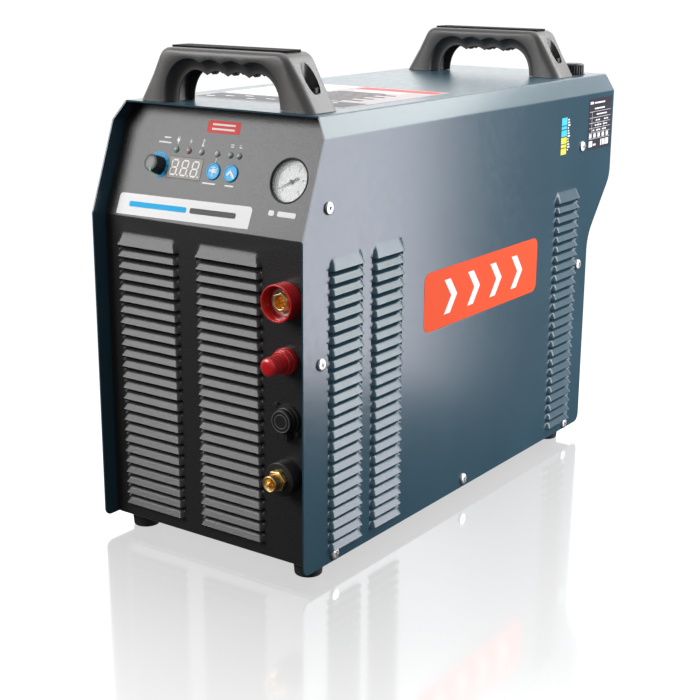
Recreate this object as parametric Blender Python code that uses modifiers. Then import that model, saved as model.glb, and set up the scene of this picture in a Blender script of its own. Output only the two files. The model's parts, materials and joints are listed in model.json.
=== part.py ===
"""Inverter plasma cutter in a folded sheet-steel case, as separate pieces.

The case stands on four rubber feet with its front towards -Y. Sizes below are
in millimetres times MM. Inside the file every piece is placed from the lower
front edge of the cover: X to the right, Y to the back, Z up. The empty
`plasma_cutter` then moves the whole assembly, so that the middle of its
footprint is the origin and the feet stand on Z = 0.
"""
import math

import bmesh
import bpy
from mathutils import Matrix, Vector

MM = 0.001
GAP = 0.3 * MM                  # clearance between pieces that touch
THROUGH = 10 * MM               # reach of a cutter on each side of a sheet

# Case
WIDTH = 240 * MM
HEIGHT = 395.2 * MM             # cover, without feet and handles
SHEET = 1.5 * MM
BEND = 1.0 * MM                 # size of the cover's folded corners
PANEL_GAP = 0.8 * MM            # clearance of the panels inside those corners
CHAMFER_IN = 11.3 * MM          # slanted strip between the sides and the top
CHAMFER_DOWN = 17.5 * MM
KNEE = 296.3 * MM               # where the front edge starts to lean back
FRONT_LEAN = 0.379              # how far it leans back for each unit of height
DEPTH_TOP = 582.5 * MM          # upper part, which hangs over the back
DEPTH_BOTTOM = 532.5 * MM
HOOD_TOP = 280.6 * MM           # the hood's slanted lower edge
HOOD_BOTTOM = 218.2 * MM
RECESS = 15.6 * MM              # front panel behind the cover's front edge
PANEL = 1.8 * MM
FLANGE = 22 * MM                # side flanges of the front and rear panels
PANEL_BOTTOM = 1.5 * MM
REAR_PANEL = 520 * MM
TRAY_WALL = 24 * MM
SHELF_Z = 136 * MM              # plate that parts the two air channels
FOOT_HEIGHT = 13.5 * MM

# Louvres, pressed outwards and open at the bottom
LOUVRE_ROWS = 25
LOUVRE_HEIGHT = 7.8 * MM
LOUVRE_RISE = 3.5 * MM
SIDE_COLUMNS = ((35 * MM, 87 * MM), (100 * MM, 151 * MM), (449 * MM, 504 * MM))
SIDE_FIRST = 266.8 * MM
SIDE_PITCH = 10.62 * MM
FRONT_COLUMNS = ((-103.5 * MM, -30.5 * MM), (-10 * MM, 64.5 * MM))
FRONT_FIRST = 267 * MM
FRONT_PITCH = 10.52 * MM

# Handles
HANDLE_Y = (62.5 * MM, 507.5 * MM)
HANDLE_DEPTH = 41 * MM
HANDLE_HEIGHT = 49.8 * MM
HANDLE_BASE = 97.8 * MM         # half length at the foot
HANDLE_TOP = 67.4 * MM          # half length at the top
GRIP_LOW = 25.6 * MM            # lowest points of the finger scallops
GRIP_RISE = 4 * MM
SCALLOP = 23.6 * MM
LEG_INNER = 57.5 * MM
BOLT_X = 81.5 * MM
BOLT_SEAT = 14.8 * MM

# Control panel: across, and up the slope from the fold
ROW = 49.8 * MM
LED_ROW = 65.7 * MM
LED_X = (-49.7 * MM, -35.2 * MM, -20.5 * MM, -2.3 * MM, 12.6 * MM, 22.4 * MM)
KNOB_X = -67.5 * MM
DISPLAY_X = -35.75 * MM
DISPLAY = (39 * MM, 19.1 * MM)
BUTTON_X = {"gas_test_button": -2.6 * MM, "mode_button": 17.4 * MM}
BUTTON_RADIUS = 7.5 * MM
LED_HOLE = 2.9 * MM
SHAFT_HOLE = 3.6 * MM
GAUGE_X = 80.3 * MM
GAUGE_RADIUS = 19.7 * MM
BOARD_BACK = -15.8 * MM
BOARD_FRONT = -14.2 * MM

# Connectors in one column on the lower panel
CONNECTOR_X = 91 * MM
SOCKET_Z = 241.4 * MM
PILOT_Z = 188.6 * MM
CONTROL_Z = 135.8 * MM
TORCH_Z = 83.6 * MM
TORCH_TIP = 26.9 * MM

# Rear
FAN_X = -45 * MM
FAN_Z = {"lower": 72 * MM, "upper": 200 * MM}
FAN_SIZE = 119 * MM
FAN_BORE = 57 * MM
REGULATOR = (83.7 * MM, 551.2 * MM)
REGULATOR_PORT = 353 * MM
REGULATOR_OUTLET = 52 * MM      # how far its outlet reaches to the front
SWITCH = (-60 * MM, 325 * MM)
GLAND = (70 * MM, 60 * MM)
EARTH = (98 * MM, 24 * MM)

# Inside
MAGNETICS_X = 88 * MM
MAGNETICS_Z = 2 * MM            # on the floor of the base tray

FOOT_X = 98.5 * MM
FOOT_Y = (35 * MM, 494 * MM)

# Angles that turn local axes: x right, y up, z towards the viewer of that side
FRONT_ON = (math.pi / 2, 0, 0)
REAR_ON = (math.pi / 2, 0, math.pi)
RIGHT_ON = (math.pi / 2, 0, math.pi / 2)
LEFT_ON = (math.pi / 2, 0, -math.pi / 2)
SLOPE_ON = (math.atan2(1, FRONT_LEAN), 0, 0)

# Fold of the front panel, whose two faces run parallel to the cover's edge
SLANT = math.hypot(1, FRONT_LEAN)
FOLD = KNEE - RECESS * (SLANT - 1) / FRONT_LEAN

FINISHES = {
    "paint": ((0.045, 0.085, 0.115), 0.32, 0.0),
    "powder": ((0.018, 0.018, 0.019), 0.62, 0.0),
    "zinc": ((0.56, 0.57, 0.58), 0.38, 1.0),
    "rubber": ((0.02, 0.02, 0.02), 0.85, 0.0),
    "handle": ((0.055, 0.052, 0.05), 0.6, 0.0),
    "black": ((0.02, 0.02, 0.022), 0.45, 0.0),
    "red": ((0.36, 0.012, 0.01), 0.35, 0.0),
    "blue": ((0.05, 0.42, 0.72), 0.35, 0.0),
    "grey": ((0.42, 0.42, 0.41), 0.3, 0.0),
    "white": ((0.82, 0.82, 0.8), 0.4, 0.0),
    "clear": ((0.75, 0.8, 0.8), 0.06, 0.0),
    "brass": ((0.72, 0.46, 0.18), 0.28, 1.0),
    "steel": ((0.6, 0.6, 0.6), 0.3, 1.0),
    "aluminium": ((0.7, 0.71, 0.72), 0.4, 1.0),
    "board": ((0.03, 0.16, 0.06), 0.5, 0.0),
    "copper": ((0.6, 0.25, 0.12), 0.35, 1.0),
    "hose": ((0.03, 0.1, 0.3), 0.4, 0.0),
}


# ---------------------------------------------------------------- scene set-up

def clear_scene():
    for obj in list(bpy.data.objects):
        bpy.data.objects.remove(obj, do_unlink=True)


def new_collection(name):
    group = bpy.data.collections.new(name)
    bpy.context.scene.collection.children.link(group)
    return group


def new_empty(name, parent=None, at=(0, 0, 0), turn=(0, 0, 0)):
    empty = bpy.data.objects.new(name, None)
    empty.empty_display_size = 0.05
    PARTS.objects.link(empty)
    return place(empty, parent, at, turn)


def place(obj, parent, at, turn):
    obj.parent = parent
    obj.location = at
    obj.rotation_euler = turn
    return obj


def finish_material(finish):
    name = finish + "_finish"
    if name in bpy.data.materials:
        return bpy.data.materials[name]
    colour, roughness, metallic = FINISHES[finish]
    material = bpy.data.materials.new(name)
    material.use_nodes = True
    material.diffuse_color = (*colour, 1)
    shader = material.node_tree.nodes["Principled BSDF"]
    shader.inputs["Base Color"].default_value = (*colour, 1)
    shader.inputs["Roughness"].default_value = roughness
    shader.inputs["Metallic"].default_value = metallic
    return material


def piece(name, mesh, finish, parent, at=(0, 0, 0), turn=(0, 0, 0)):
    """A sub-part: one object with its own name and finish."""
    obj = bpy.data.objects.new(name, mesh)
    PARTS.objects.link(obj)
    mesh.materials.clear()
    mesh.materials.append(finish_material(finish))
    return place(obj, parent, at, turn)


def tool(name, mesh, parent, at=(0, 0, 0), turn=(0, 0, 0)):
    """A shape that only cuts, trims or adds to a sub-part."""
    obj = bpy.data.objects.new(name, mesh)
    obj.hide_render = True
    obj.display_type = "WIRE"
    CUTTERS.objects.link(obj)
    return place(obj, parent, at, turn)


# -------------------------------------------------------------- mesh builders

def mesh_from(bm, name="shape"):
    mesh = bpy.data.meshes.new(name)
    bm.to_mesh(mesh)
    bm.free()
    return mesh


def boxes(blocks):
    """Boxes given as (low corner, high corner)."""
    bm = bmesh.new()
    for low, high in blocks:
        size = [b - a for a, b in zip(low, high)]
        middle = [(a + b) / 2 for a, b in zip(low, high)]
        matrix = Matrix.Translation(middle) @ Matrix.Diagonal((*size, 1))
        bmesh.ops.create_cube(bm, size=1, matrix=matrix)
    return mesh_from(bm)


def rods(rounds, segments=24):
    """Upright round bars given as (x, y, bottom, top, radius)."""
    bm = bmesh.new()
    for x, y, bottom, top, radius in rounds:
        matrix = Matrix.Translation((x, y, (bottom + top) / 2))
        bmesh.ops.create_cone(bm, cap_ends=True, segments=segments, radius1=radius,
                              radius2=radius, depth=top - bottom, matrix=matrix)
    return mesh_from(bm)


def arc(cx, cy, radius, start, end, steps):
    """Points on an arc, angles in degrees."""
    points = []
    for i in range(steps + 1):
        angle = math.radians(start + (end - start) * i / steps)
        points.append((cx + radius * math.cos(angle), cy + radius * math.sin(angle)))
    return points


def rounded(corners, steps=4):
    """A closed outline whose corners (x, y, radius) are rounded."""
    points = []
    for i, (x, y, radius) in enumerate(corners):
        if radius == 0:
            points.append((x, y))
            continue
        corner = Vector((x, y))
        before = (Vector(corners[i - 1][:2]) - corner).normalized()
        after = (Vector(corners[(i + 1) % len(corners)][:2]) - corner).normalized()
        half = before.angle(after) / 2
        centre = corner + (before + after).normalized() * radius / math.sin(half)
        start = corner + before * radius / math.tan(half) - centre
        turn = math.pi - 2 * half
        side = 1 if before.cross(after) < 0 else -1
        for step in range(steps + 1):
            angle = side * turn * step / steps
            spoke = Matrix.Rotation(angle, 2) @ start
            points.append(tuple(centre + spoke))
    return points


def extruded(points, low, high):
    """A flat outline in x and y, made solid from z = low to z = high."""
    curve = bpy.data.curves.new("outline", "CURVE")
    curve.dimensions = "2D"
    curve.fill_mode = "BOTH"
    curve.extrude = (high - low) / 2
    spline = curve.splines.new("POLY")
    spline.points.add(len(points) - 1)
    for point, (x, y) in zip(spline.points, points):
        point.co = (x, y, 0, 1)
    spline.use_cyclic_u = True
    guide = bpy.data.objects.new("outline", curve)
    CUTTERS.objects.link(guide)
    evaluated = guide.evaluated_get(bpy.context.evaluated_depsgraph_get())
    mesh = bpy.data.meshes.new_from_object(evaluated)
    bpy.data.objects.remove(guide, do_unlink=True)
    bm = bmesh.new()
    bm.from_mesh(mesh)
    bmesh.ops.remove_doubles(bm, verts=bm.verts, dist=1e-6)
    bmesh.ops.translate(bm, verts=bm.verts, vec=(0, 0, (high + low) / 2))
    bmesh.ops.recalc_face_normals(bm, faces=bm.faces)
    bm.to_mesh(mesh)
    bm.free()
    return mesh


def turn_profile(obj, steps):
    screw = obj.modifiers.new("turn", "SCREW")
    screw.axis = "Z"
    screw.angle = math.tau
    screw.steps = steps
    screw.render_steps = steps
    screw.use_merge_vertices = True
    screw.merge_threshold = 0.00001
    screw.use_smooth_shade = False
    return obj


def profile(points, closed):
    """Edges through (radius, height) points, for the Screw modifier."""
    bm = bmesh.new()
    verts = [bm.verts.new((radius, 0, height)) for radius, height in points]
    for a, b in zip(verts, verts[1:]):
        bm.edges.new((a, b))
    if closed:
        bm.edges.new((verts[-1], verts[0]))
    return mesh_from(bm)


def turned(name, finish, points, parent, at=(0, 0, 0), turn=(0, 0, 0), steps=24, closed=False):
    """A turned sub-part about local z; the outer side is given top to bottom."""
    in_metres = [(r * MM, z * MM) for r, z in points]
    obj = piece(name, profile(in_metres, closed), finish, parent, at, turn)
    return turn_profile(obj, steps)


def fluted(radius, depth, ribs):
    """Outline of a round grip with ribs along its side."""
    valley = radius - depth
    one_rib = ((0.0, radius), (0.5, radius), (0.62, valley), (0.88, valley))
    points = []
    for i in range(ribs):
        for share, r in one_rib:
            angle = math.tau * (i + share) / ribs
            points.append((r * math.cos(angle), r * math.sin(angle)))
    return points


# ------------------------------------------------------------------ modifiers

def combine(obj, operation, other):
    modifier = obj.modifiers.new(other.name, "BOOLEAN")
    modifier.operation = operation
    modifier.solver = "EXACT"
    modifier.object = other


def cut(obj, other):
    combine(obj, "DIFFERENCE", other)


def add(obj, other):
    combine(obj, "UNION", other)


def keep_inside(obj, other):
    combine(obj, "INTERSECT", other)


def bevel(obj, width, segments=2, degrees=30):
    modifier = obj.modifiers.new("bevel", "BEVEL")
    modifier.width = width
    modifier.segments = segments
    modifier.limit_method = "ANGLE"
    modifier.angle_limit = math.radians(degrees)
    modifier.use_clamp_overlap = True


def thicken(obj):
    """Give an open surface the thickness of the sheet steel, on its inner side."""
    wall = obj.modifiers.new("wall", "SOLIDIFY")
    wall.thickness = SHEET
    wall.offset = -1
    wall.use_even_offset = True


# -------------------------------------------------------------------- housing

def section(inset, bottom):
    """Corners of the case's front view, moved inwards by an inset."""
    length = math.hypot(CHAMFER_IN, CHAMFER_DOWN)
    nx, nz = CHAMFER_DOWN / length, CHAMFER_IN / length
    side = WIDTH / 2 - inset
    top = HEIGHT - inset
    shoulder = HEIGHT - CHAMFER_DOWN - inset * (1 - nx) / nz
    top_x = WIDTH / 2 - (inset + nz * (CHAMFER_DOWN - inset)) / nx
    right = [(side, bottom), (side, shoulder), (top_x, top)]
    return right + [(-x, z) for x, z in reversed(right)]


def open_sheet(points, start, end):
    """An open surface: a polyline in X and Z drawn out along Y."""
    bm = bmesh.new()
    verts = [bm.verts.new((x, start, z)) for x, z in points]
    edges = [bm.edges.new(pair) for pair in zip(verts, verts[1:])]
    drawn = bmesh.ops.extrude_edge_only(bm, edges=edges)["geom"]
    moved = [item for item in drawn if isinstance(item, bmesh.types.BMVert)]
    bmesh.ops.translate(bm, verts=moved, vec=(0, end - start, 0))
    return mesh_from(bm)


def cover_side_outline():
    """Side view of the cover, in Y and Z."""
    return rounded([
        (0, 0, 7 * MM),
        (DEPTH_BOTTOM, 0, 9 * MM),
        (DEPTH_BOTTOM, HOOD_BOTTOM, 45 * MM),
        (DEPTH_TOP, HOOD_TOP, 30 * MM),
        (DEPTH_TOP, HEIGHT + 5 * MM, 0),
        ((HEIGHT + 5 * MM - KNEE) * FRONT_LEAN, HEIGHT + 5 * MM, 0),
        (0, KNEE, 8 * MM),
    ])


def louvre_bank(columns, first, pitch):
    """Wedges in x (across), y (up) and z (out), open edge at the bottom."""
    sunk = -0.6 * MM
    bm = bmesh.new()
    for left, right in columns:
        for row in range(LOUVRE_ROWS):
            low = first - row * pitch
            middle = ((left + right) / 2, low + LOUVRE_HEIGHT / 2, (sunk + LOUVRE_RISE) / 2)
            size = (right - left, LOUVRE_HEIGHT, LOUVRE_RISE - sunk)
            matrix = Matrix.Translation(middle) @ Matrix.Diagonal((*size, 1))
            made = bmesh.ops.create_cube(bm, size=1, matrix=matrix)["verts"]
            for vert in made:
                if vert.co.z > 0 and vert.co.y > middle[1]:
                    vert.co.z = sunk / 3
                    vert.co.x += math.copysign(3 * MM, middle[0] - vert.co.x)
    return mesh_from(bm)


def make_cover(root):
    margin = 5 * MM
    sheet = open_sheet(section(0, 0), -margin, DEPTH_TOP + margin)
    cover = piece("cover", sheet, "paint", root)
    bevel(cover, BEND, segments=1, degrees=10)
    thicken(cover)
    side_view = extruded(cover_side_outline(), -WIDTH, WIDTH)
    keep_inside(cover, tool("cover_side_view", side_view, root, turn=RIGHT_ON))
    right = louvre_bank(SIDE_COLUMNS, SIDE_FIRST, SIDE_PITCH)
    add(cover, tool("right_louvres", right, root, (WIDTH / 2, 0, 0), RIGHT_ON))
    mirrored = [(-b, -a) for a, b in SIDE_COLUMNS]
    left = louvre_bank(mirrored, SIDE_FIRST, SIDE_PITCH)
    add(cover, tool("left_louvres", left, root, (-WIDTH / 2, 0, 0), LEFT_ON))
    below, above = HEIGHT - 10 * MM, HEIGHT + 10 * MM
    holes = [(*REGULATOR, below, above, 13.5 * MM)]
    holes += [(x, y, below, above, 4.3 * MM) for y in HANDLE_Y for x in (-BOLT_X, BOLT_X)]
    cut(cover, tool("cover_holes", rods(holes, 20), root))


def control_holes():
    """Lamp, button and shaft holes in the sloping face, as (x, y, bottom, top, radius)."""
    holes = [(x, LED_ROW, -THROUGH, THROUGH, LED_HOLE) for x in LED_X]
    holes += [(x, ROW, -THROUGH, THROUGH, BUTTON_RADIUS + GAP) for x in BUTTON_X.values()]
    holes.append((KNOB_X, ROW, -THROUGH, THROUGH, SHAFT_HOLE))
    return holes


def make_front_panel(root, lower, upper):
    top = HEIGHT - SHEET - GAP
    lean = (top - FOLD) * FRONT_LEAN
    half = WIDTH / 2 - SHEET - GAP
    outline = [(0, PANEL_BOTTOM), (FLANGE, PANEL_BOTTOM), (FLANGE, FOLD),
               (FLANGE + lean, top), (lean, top), (0, FOLD)]
    panel = piece("front_panel", extruded(outline, -half, half), "powder", root,
                  (0, RECESS, 0), RIGHT_ON)
    back = PANEL * SLANT
    rise = 40 * MM
    inner_fold = FOLD - PANEL * (SLANT - 1) / FRONT_LEAN
    inner = [(PANEL, -rise), (4 * FLANGE, -rise), (4 * FLANGE, top + rise),
             (back + (top + rise - FOLD) * FRONT_LEAN, top + rise), (PANEL, inner_fold)]
    hollow = extruded(inner, SHEET - half, half - SHEET)
    cut(panel, tool("front_panel_inside", hollow, root, (0, RECESS, 0), RIGHT_ON))
    inside = extruded(section(SHEET + PANEL_GAP, 0), -WIDTH, WIDTH)
    keep_inside(panel, tool("front_panel_trim", inside, root, turn=FRONT_ON))
    small = rods(control_holes(), 16)
    cut(panel, tool("control_holes", small, upper))
    gauge = rods([(GAUGE_X, ROW, -THROUGH, THROUGH, GAUGE_RADIUS + GAP)], 32)
    cut(panel, tool("gauge_hole", gauge, upper))
    x, y = DISPLAY[0] / 2 + GAP, DISPLAY[1] / 2 + GAP
    window = boxes([((DISPLAY_X - x, ROW - y, -THROUGH), (DISPLAY_X + x, ROW + y, THROUGH))])
    cut(panel, tool("display_window", window, upper))
    radii = {SOCKET_Z: 13.8 * MM, PILOT_Z: 6 * MM, CONTROL_Z: 9.8 * MM, TORCH_Z: 12.3 * MM}
    connectors = [(CONNECTOR_X, z, -THROUGH, THROUGH, r) for z, r in radii.items()]
    cut(panel, tool("connector_holes", rods(connectors), lower))
    louvres = louvre_bank(FRONT_COLUMNS, FRONT_FIRST, FRONT_PITCH)
    add(panel, tool("front_louvres", louvres, lower))


def grille_slots(x, z):
    """Slots across a round air opening, in the rear panel's own x and y."""
    radius, pitch, slot = 54 * MM, 10.8 * MM, 6.6 * MM
    blocks = []
    for i in range(-4, 5):
        reach = math.sqrt(radius ** 2 - (abs(i) * pitch + slot / 2) ** 2)
        low = z + i * pitch - slot / 2
        blocks.append(((x - reach, low, -THROUGH), (x + reach, low + slot, THROUGH)))
    return blocks


def make_rear_panel(root, rear):
    top = HEIGHT - SHEET - GAP
    half = WIDTH / 2 - SHEET - GAP
    block = boxes([((-half, REAR_PANEL - FLANGE, PANEL_BOTTOM), (half, REAR_PANEL, top))])
    panel = piece("rear_panel", block, "powder", root)
    inner = boxes([((SHEET - half, 0, -0.1), (half - SHEET, REAR_PANEL - PANEL, 1))])
    cut(panel, tool("rear_panel_inside", inner, root))
    inside = extruded(section(SHEET + PANEL_GAP, 0), -REAR_PANEL - FLANGE, 0)
    keep_inside(panel, tool("rear_panel_trim", inside, root, turn=FRONT_ON))
    slots = grille_slots(-FAN_X, FAN_Z["lower"]) + grille_slots(-FAN_X, FAN_Z["upper"])
    side = 20.5 * MM
    x, z = -SWITCH[0], SWITCH[1]
    slots.append(((x - side, z - side, -THROUGH), (x + side, z + side, THROUGH)))
    cut(panel, tool("rear_openings", boxes(slots), rear))
    rounds = [(-GLAND[0], GLAND[1], 15.3 * MM), (-EARTH[0], EARTH[1], 4.3 * MM),
              (-REGULATOR[0], REGULATOR_PORT, 6.5 * MM)]
    holes = [(x, z, -THROUGH, THROUGH, radius) for x, z, radius in rounds]
    cut(panel, tool("rear_holes", rods(holes, 20), rear))


def make_base_tray(root):
    half = WIDTH / 2 - 2 * SHEET - 2 * GAP
    start, end = RECESS + PANEL + GAP, REAR_PANEL - PANEL - GAP
    outline = [(-half, TRAY_WALL), (-half, 0), (half, 0), (half, TRAY_WALL)]
    tray = piece("base_tray", open_sheet(outline, start, end), "zinc", root)
    thicken(tray)


def make_shelf(root):
    low, high = (-112 * MM, 90 * MM, SHELF_Z), (58 * MM, 486 * MM, SHELF_Z + SHEET)
    piece("shelf", boxes([(low, high)]), "zinc", root)


def make_feet(root):
    shape = [(0, -0.3), (13.6, -0.3), (12.4, -13.5), (5.0, -13.5), (5.0, -7.0), (0, -7.0)]
    for end, y in zip(("front", "rear"), FOOT_Y):
        for side, x in (("left", -FOOT_X), ("right", FOOT_X)):
            turned(f"foot_{end}_{side}", "rubber", shape, root, (x, y, 0), steps=16)


# -------------------------------------------------------------------- handles

def handle_outline():
    """Front view of a handle: sloping ends, flat top, finger scallops below."""
    outer = rounded([(-HANDLE_BASE, 0, 0), (-HANDLE_TOP, HANDLE_HEIGHT, 14 * MM),
                     (HANDLE_TOP, HANDLE_HEIGHT, 14 * MM), (HANDLE_BASE, 0, 0)], 5)
    middle = 1.5 * SCALLOP
    right = []
    for step in range(8):
        angle = math.pi / 2 * step / 7
        right.append((middle + (LEG_INNER - middle) * math.cos(angle),
                      (GRIP_LOW + GRIP_RISE) * math.sin(angle)))
    for step in range(1, 4):
        share = step / 3
        right.append((middle - SCALLOP / 2 * share,
                      GRIP_LOW + GRIP_RISE * math.cos(math.pi / 2 * share)))
    for step in range(1, 6):
        share = step / 5
        right.append((SCALLOP * (1 - share), GRIP_LOW + GRIP_RISE * math.sin(math.pi * share)))
    left = [(-x, z) for x, z in reversed(right[:-1])]
    return outer + right + left


def make_handles(root):
    """Two hollow handles, each on two bolts whose heads sit in round pockets."""
    half = HANDLE_DEPTH / 2
    channel = [(-66 * MM, -5 * MM), (-66 * MM, 38 * MM), (-58 * MM, 44 * MM),
               (58 * MM, 44 * MM), (66 * MM, 38 * MM), (66 * MM, -5 * MM)]
    bolt = [(0, 19.6), (6.5, 19.6), (6.5, 15.1), (4, 15.1), (4, -12), (0, -12)]
    for end, y in zip(("front", "rear"), HANDLE_Y):
        name = end + "_handle"
        place_at = (0, y, HEIGHT + GAP)
        handle = piece(name, extruded(handle_outline(), -half, half), "handle", root,
                       place_at, FRONT_ON)
        bevel(handle, 4 * MM, segments=1, degrees=60)
        hollow = extruded(channel, -10.5 * MM, 10.5 * MM)
        cut(handle, tool(name + "_channel", hollow, root, place_at, FRONT_ON))
        pockets = []
        for x in (-BOLT_X, BOLT_X):
            pockets.append((x, 0, BOLT_SEAT, 60 * MM, 8.4 * MM))
        cut(handle, tool(name + "_pockets", rods(pockets, 16), root, place_at))
        shanks = [(x, 0, -5 * MM, BOLT_SEAT + 5 * MM, 4.3 * MM) for x in (-BOLT_X, BOLT_X)]
        cut(handle, tool(name + "_bolt_holes", rods(shanks, 12), root, place_at))
        for side, x in (("left", -BOLT_X), ("right", BOLT_X)):
            turned(f"{name}_bolt_{side}", "steel", bolt, root, (x, y, HEIGHT + GAP), steps=12)


# -------------------------------------------------------------- control panel

def make_control_board(upper):
    """Printed board behind the panel, with the six lamps that rise through it."""
    low, high = (-103 * MM, 26 * MM, BOARD_BACK), (40 * MM, 74 * MM, BOARD_FRONT)
    board = piece("control_board", boxes([(low, high)]), "board", upper)
    lamps = [(x, LED_ROW, BOARD_FRONT - MM, 0.6 * MM, 2.6 * MM) for x in LED_X]
    add(board, tool("lamp_bodies", rods(lamps, 10), upper))
    x, y = DISPLAY[0] / 2, DISPLAY[1] / 2
    block = ((DISPLAY_X - x, ROW - y, BOARD_FRONT + GAP), (DISPLAY_X + x, ROW + y, 0.4 * MM))
    piece("display_module", boxes([block]), "grey", upper)


def make_current_control(upper):
    """Potentiometer with its shaft, ribbed knob and knob cap."""
    centre = (KNOB_X, ROW, 0)
    body = [(0, -7.5), (3.3, -7.5), (3.3, -2.2), (4.6, -2.2), (4.6, -7.0), (8.2, -7.0),
            (8.2, -13.8), (0, -13.8)]
    turned("current_potentiometer", "zinc", body, upper, centre, steps=14)
    turned("current_knob_shaft", "steel", [(0, 6.2), (3, 6.2), (3, -7.1), (0, -7.1)], upper,
           centre, steps=14)
    knob = piece("current_knob", extruded(fluted(8.3 * MM, 0.5 * MM, 14), 0.6 * MM, 8.4 * MM),
                 "black", upper, centre)
    bore = rods([(0, 0, -1 * MM, 6.6 * MM, 3.3 * MM)], 14)
    cut(knob, tool("knob_bore", bore, upper, centre))
    cap = [(0, 11.0), (5.0, 10.6), (7.6, 9.2), (7.6, 8.7), (0, 8.7)]
    turned("current_knob_cap", "grey", cap, upper, centre, steps=16)


def make_buttons(upper):
    """Push buttons that travel straight into the panel, held by a flange behind it."""
    shape = [(0, 1.0), (7.5, 1.0), (7.5, -2.6), (9.0, -2.6), (9.0, -4.2), (3.0, -4.2),
             (3.0, -13.0), (0, -13.0)]
    for name, x in BUTTON_X.items():
        turned(name, "blue", shape, upper, (x, ROW, 0), steps=16)


def make_gauge(upper):
    """Pressure gauge behind a round hole: case, dial, needle on its axle, and lens."""
    centre = (GAUGE_X, ROW, 0)
    case = [(0, -9.0), (1.1, -9.0), (1.1, -6.0), (18.6, -6.0), (18.6, 0.6), (19.7, 0.6),
            (19.7, -2.2), (23.5, -2.2), (23.5, -4.2), (19.7, -4.2), (19.7, -25), (6.5, -25),
            (6.5, -38), (0, -38)]
    turned("gauge_case", "black", case, upper, centre)
    dial = [(1.2, -4.8), (18.2, -4.8), (18.2, -5.6), (1.2, -5.6)]
    turned("gauge_dial", "white", dial, upper, centre, closed=True)
    blade = [(-14.5, 0), (-2, -0.7), (6.5, -0.9), (7.5, 0), (6.5, 0.9), (-2, 0.7)]
    in_metres = [(x * MM, y * MM) for x, y in blade]
    needle = piece("gauge_needle", extruded(in_metres, -3.9 * MM, -3.4 * MM), "black", upper,
                   centre, (0, 0, math.radians(30)))
    hub = rods([(0, 0, -4.3 * MM, -3.0 * MM, 2.2 * MM)], 14)
    add(needle, tool("needle_hub", hub, upper, centre))
    axle = rods([(0, 0, -8.6 * MM, -3.8 * MM, 0.8 * MM)], 8)
    add(needle, tool("needle_axle", axle, upper, centre))
    turned("gauge_lens", "clear", [(0, -0.5), (18.2, -0.5), (18.2, -2.0), (0, -2.0)], upper,
           centre)


# ----------------------------------------------------------------- connectors

def make_work_socket(lower):
    """Insulated socket for the work lead, with its brass contact."""
    centre = (CONNECTOR_X, SOCKET_Z, 0)
    shell = [(9.3, 4.5), (14.5, 4.5), (14.7, 15.4), (16.1, 15.4), (16.6, 14.9), (16.6, 0.3),
             (13.5, 0.3), (13.5, -12), (9.3, -12)]
    turned("work_socket_shell", "red", shell, lower, centre, closed=True)
    contact = [(0, -8), (5.8, -8), (5.8, 9.4), (8.0, 9.4), (8.0, 6.4), (9.0, 6.4), (9.0, -20),
               (5, -20), (5, -34), (0, -34)]
    turned("work_socket_contact", "brass", contact, lower, centre, steps=20)


def make_pilot_terminal(lower):
    """Binding post for the pilot arc: insulator, stud and screw cap."""
    centre = (CONNECTOR_X, PILOT_Z, 0)
    post = [(2.7, 10.3), (10.4, 10.3), (10.4, 5.0), (12.0, 5.0), (12.0, 0.3), (5.7, 0.3),
            (5.7, -12), (2.7, -12)]
    turned("pilot_post", "red", post, lower, centre, steps=18, closed=True)
    stud = [(0, 24.4), (2.4, 24.4), (2.4, -22), (0, -22)]
    turned("pilot_stud", "brass", stud, lower, centre, steps=12)
    cap = piece("pilot_cap", extruded(fluted(8.3 * MM, 0.4 * MM, 14), 10.6 * MM, 28.6 * MM),
                "red", lower, centre)
    bore = rods([(0, 0, 5 * MM, 24.8 * MM, 2.7 * MM)], 12)
    cut(cap, tool("pilot_cap_bore", bore, lower, centre))


def make_control_socket(lower):
    """Round control socket with a sprung cap on a pin below it."""
    centre = (CONNECTOR_X, CONTROL_Z, 0)
    body = [(0, -4), (7.5, -4), (7.5, 5.0), (11.2, 5.0), (11.2, 2.6), (13.8, 2.3), (13.8, 0.3),
            (9.5, 0.3), (9.5, -14), (0, -14)]
    socket = turned("control_socket", "black", body, lower, centre, steps=20)
    pin_y, pin_z = -15.2 * MM, 6.2 * MM
    ears = boxes([((x - 1 * MM, -17.0 * MM, 0.5 * MM), (x + 1 * MM, -10.3 * MM, 8.2 * MM))
                  for x in (-4.4 * MM, 4.4 * MM)])
    add(socket, tool("socket_ears", ears, lower, centre))
    across = (0, math.pi / 2, 0)
    pin_at = (CONNECTOR_X, CONTROL_Z + pin_y, pin_z)
    pin_hole = rods([(0, 0, -8 * MM, 8 * MM, 1.2 * MM)], 10)
    cut(socket, tool("socket_pin_hole", pin_hole, lower, pin_at, across))
    piece("control_socket_pin", rods([(0, 0, -5.6 * MM, 5.6 * MM, 0.9 * MM)], 10), "steel",
          lower, pin_at, across)
    radius = 10.4 * MM
    lift = -pin_y
    cap_mesh = rods([(0, lift, 5.4 * MM - pin_z, 9.9 * MM - pin_z, radius)], 20)
    cap = piece("control_socket_cap", cap_mesh, "black", lower, pin_at)
    arm = boxes([((-3 * MM, -1.8 * MM, 5.4 * MM - pin_z), (3 * MM, lift - 8 * MM, 2.4 * MM))])
    add(cap, tool("cap_arm", arm, lower, pin_at))
    add(cap, tool("cap_barrel", rods([(0, 0, -3 * MM, 3 * MM, 2.0 * MM)], 12), lower, pin_at,
                  across))
    bore = rods([(0, 0, -8 * MM, 8 * MM, 1.2 * MM)], 10)
    cut(cap, tool("cap_pin_hole", bore, lower, pin_at, across))


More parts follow.
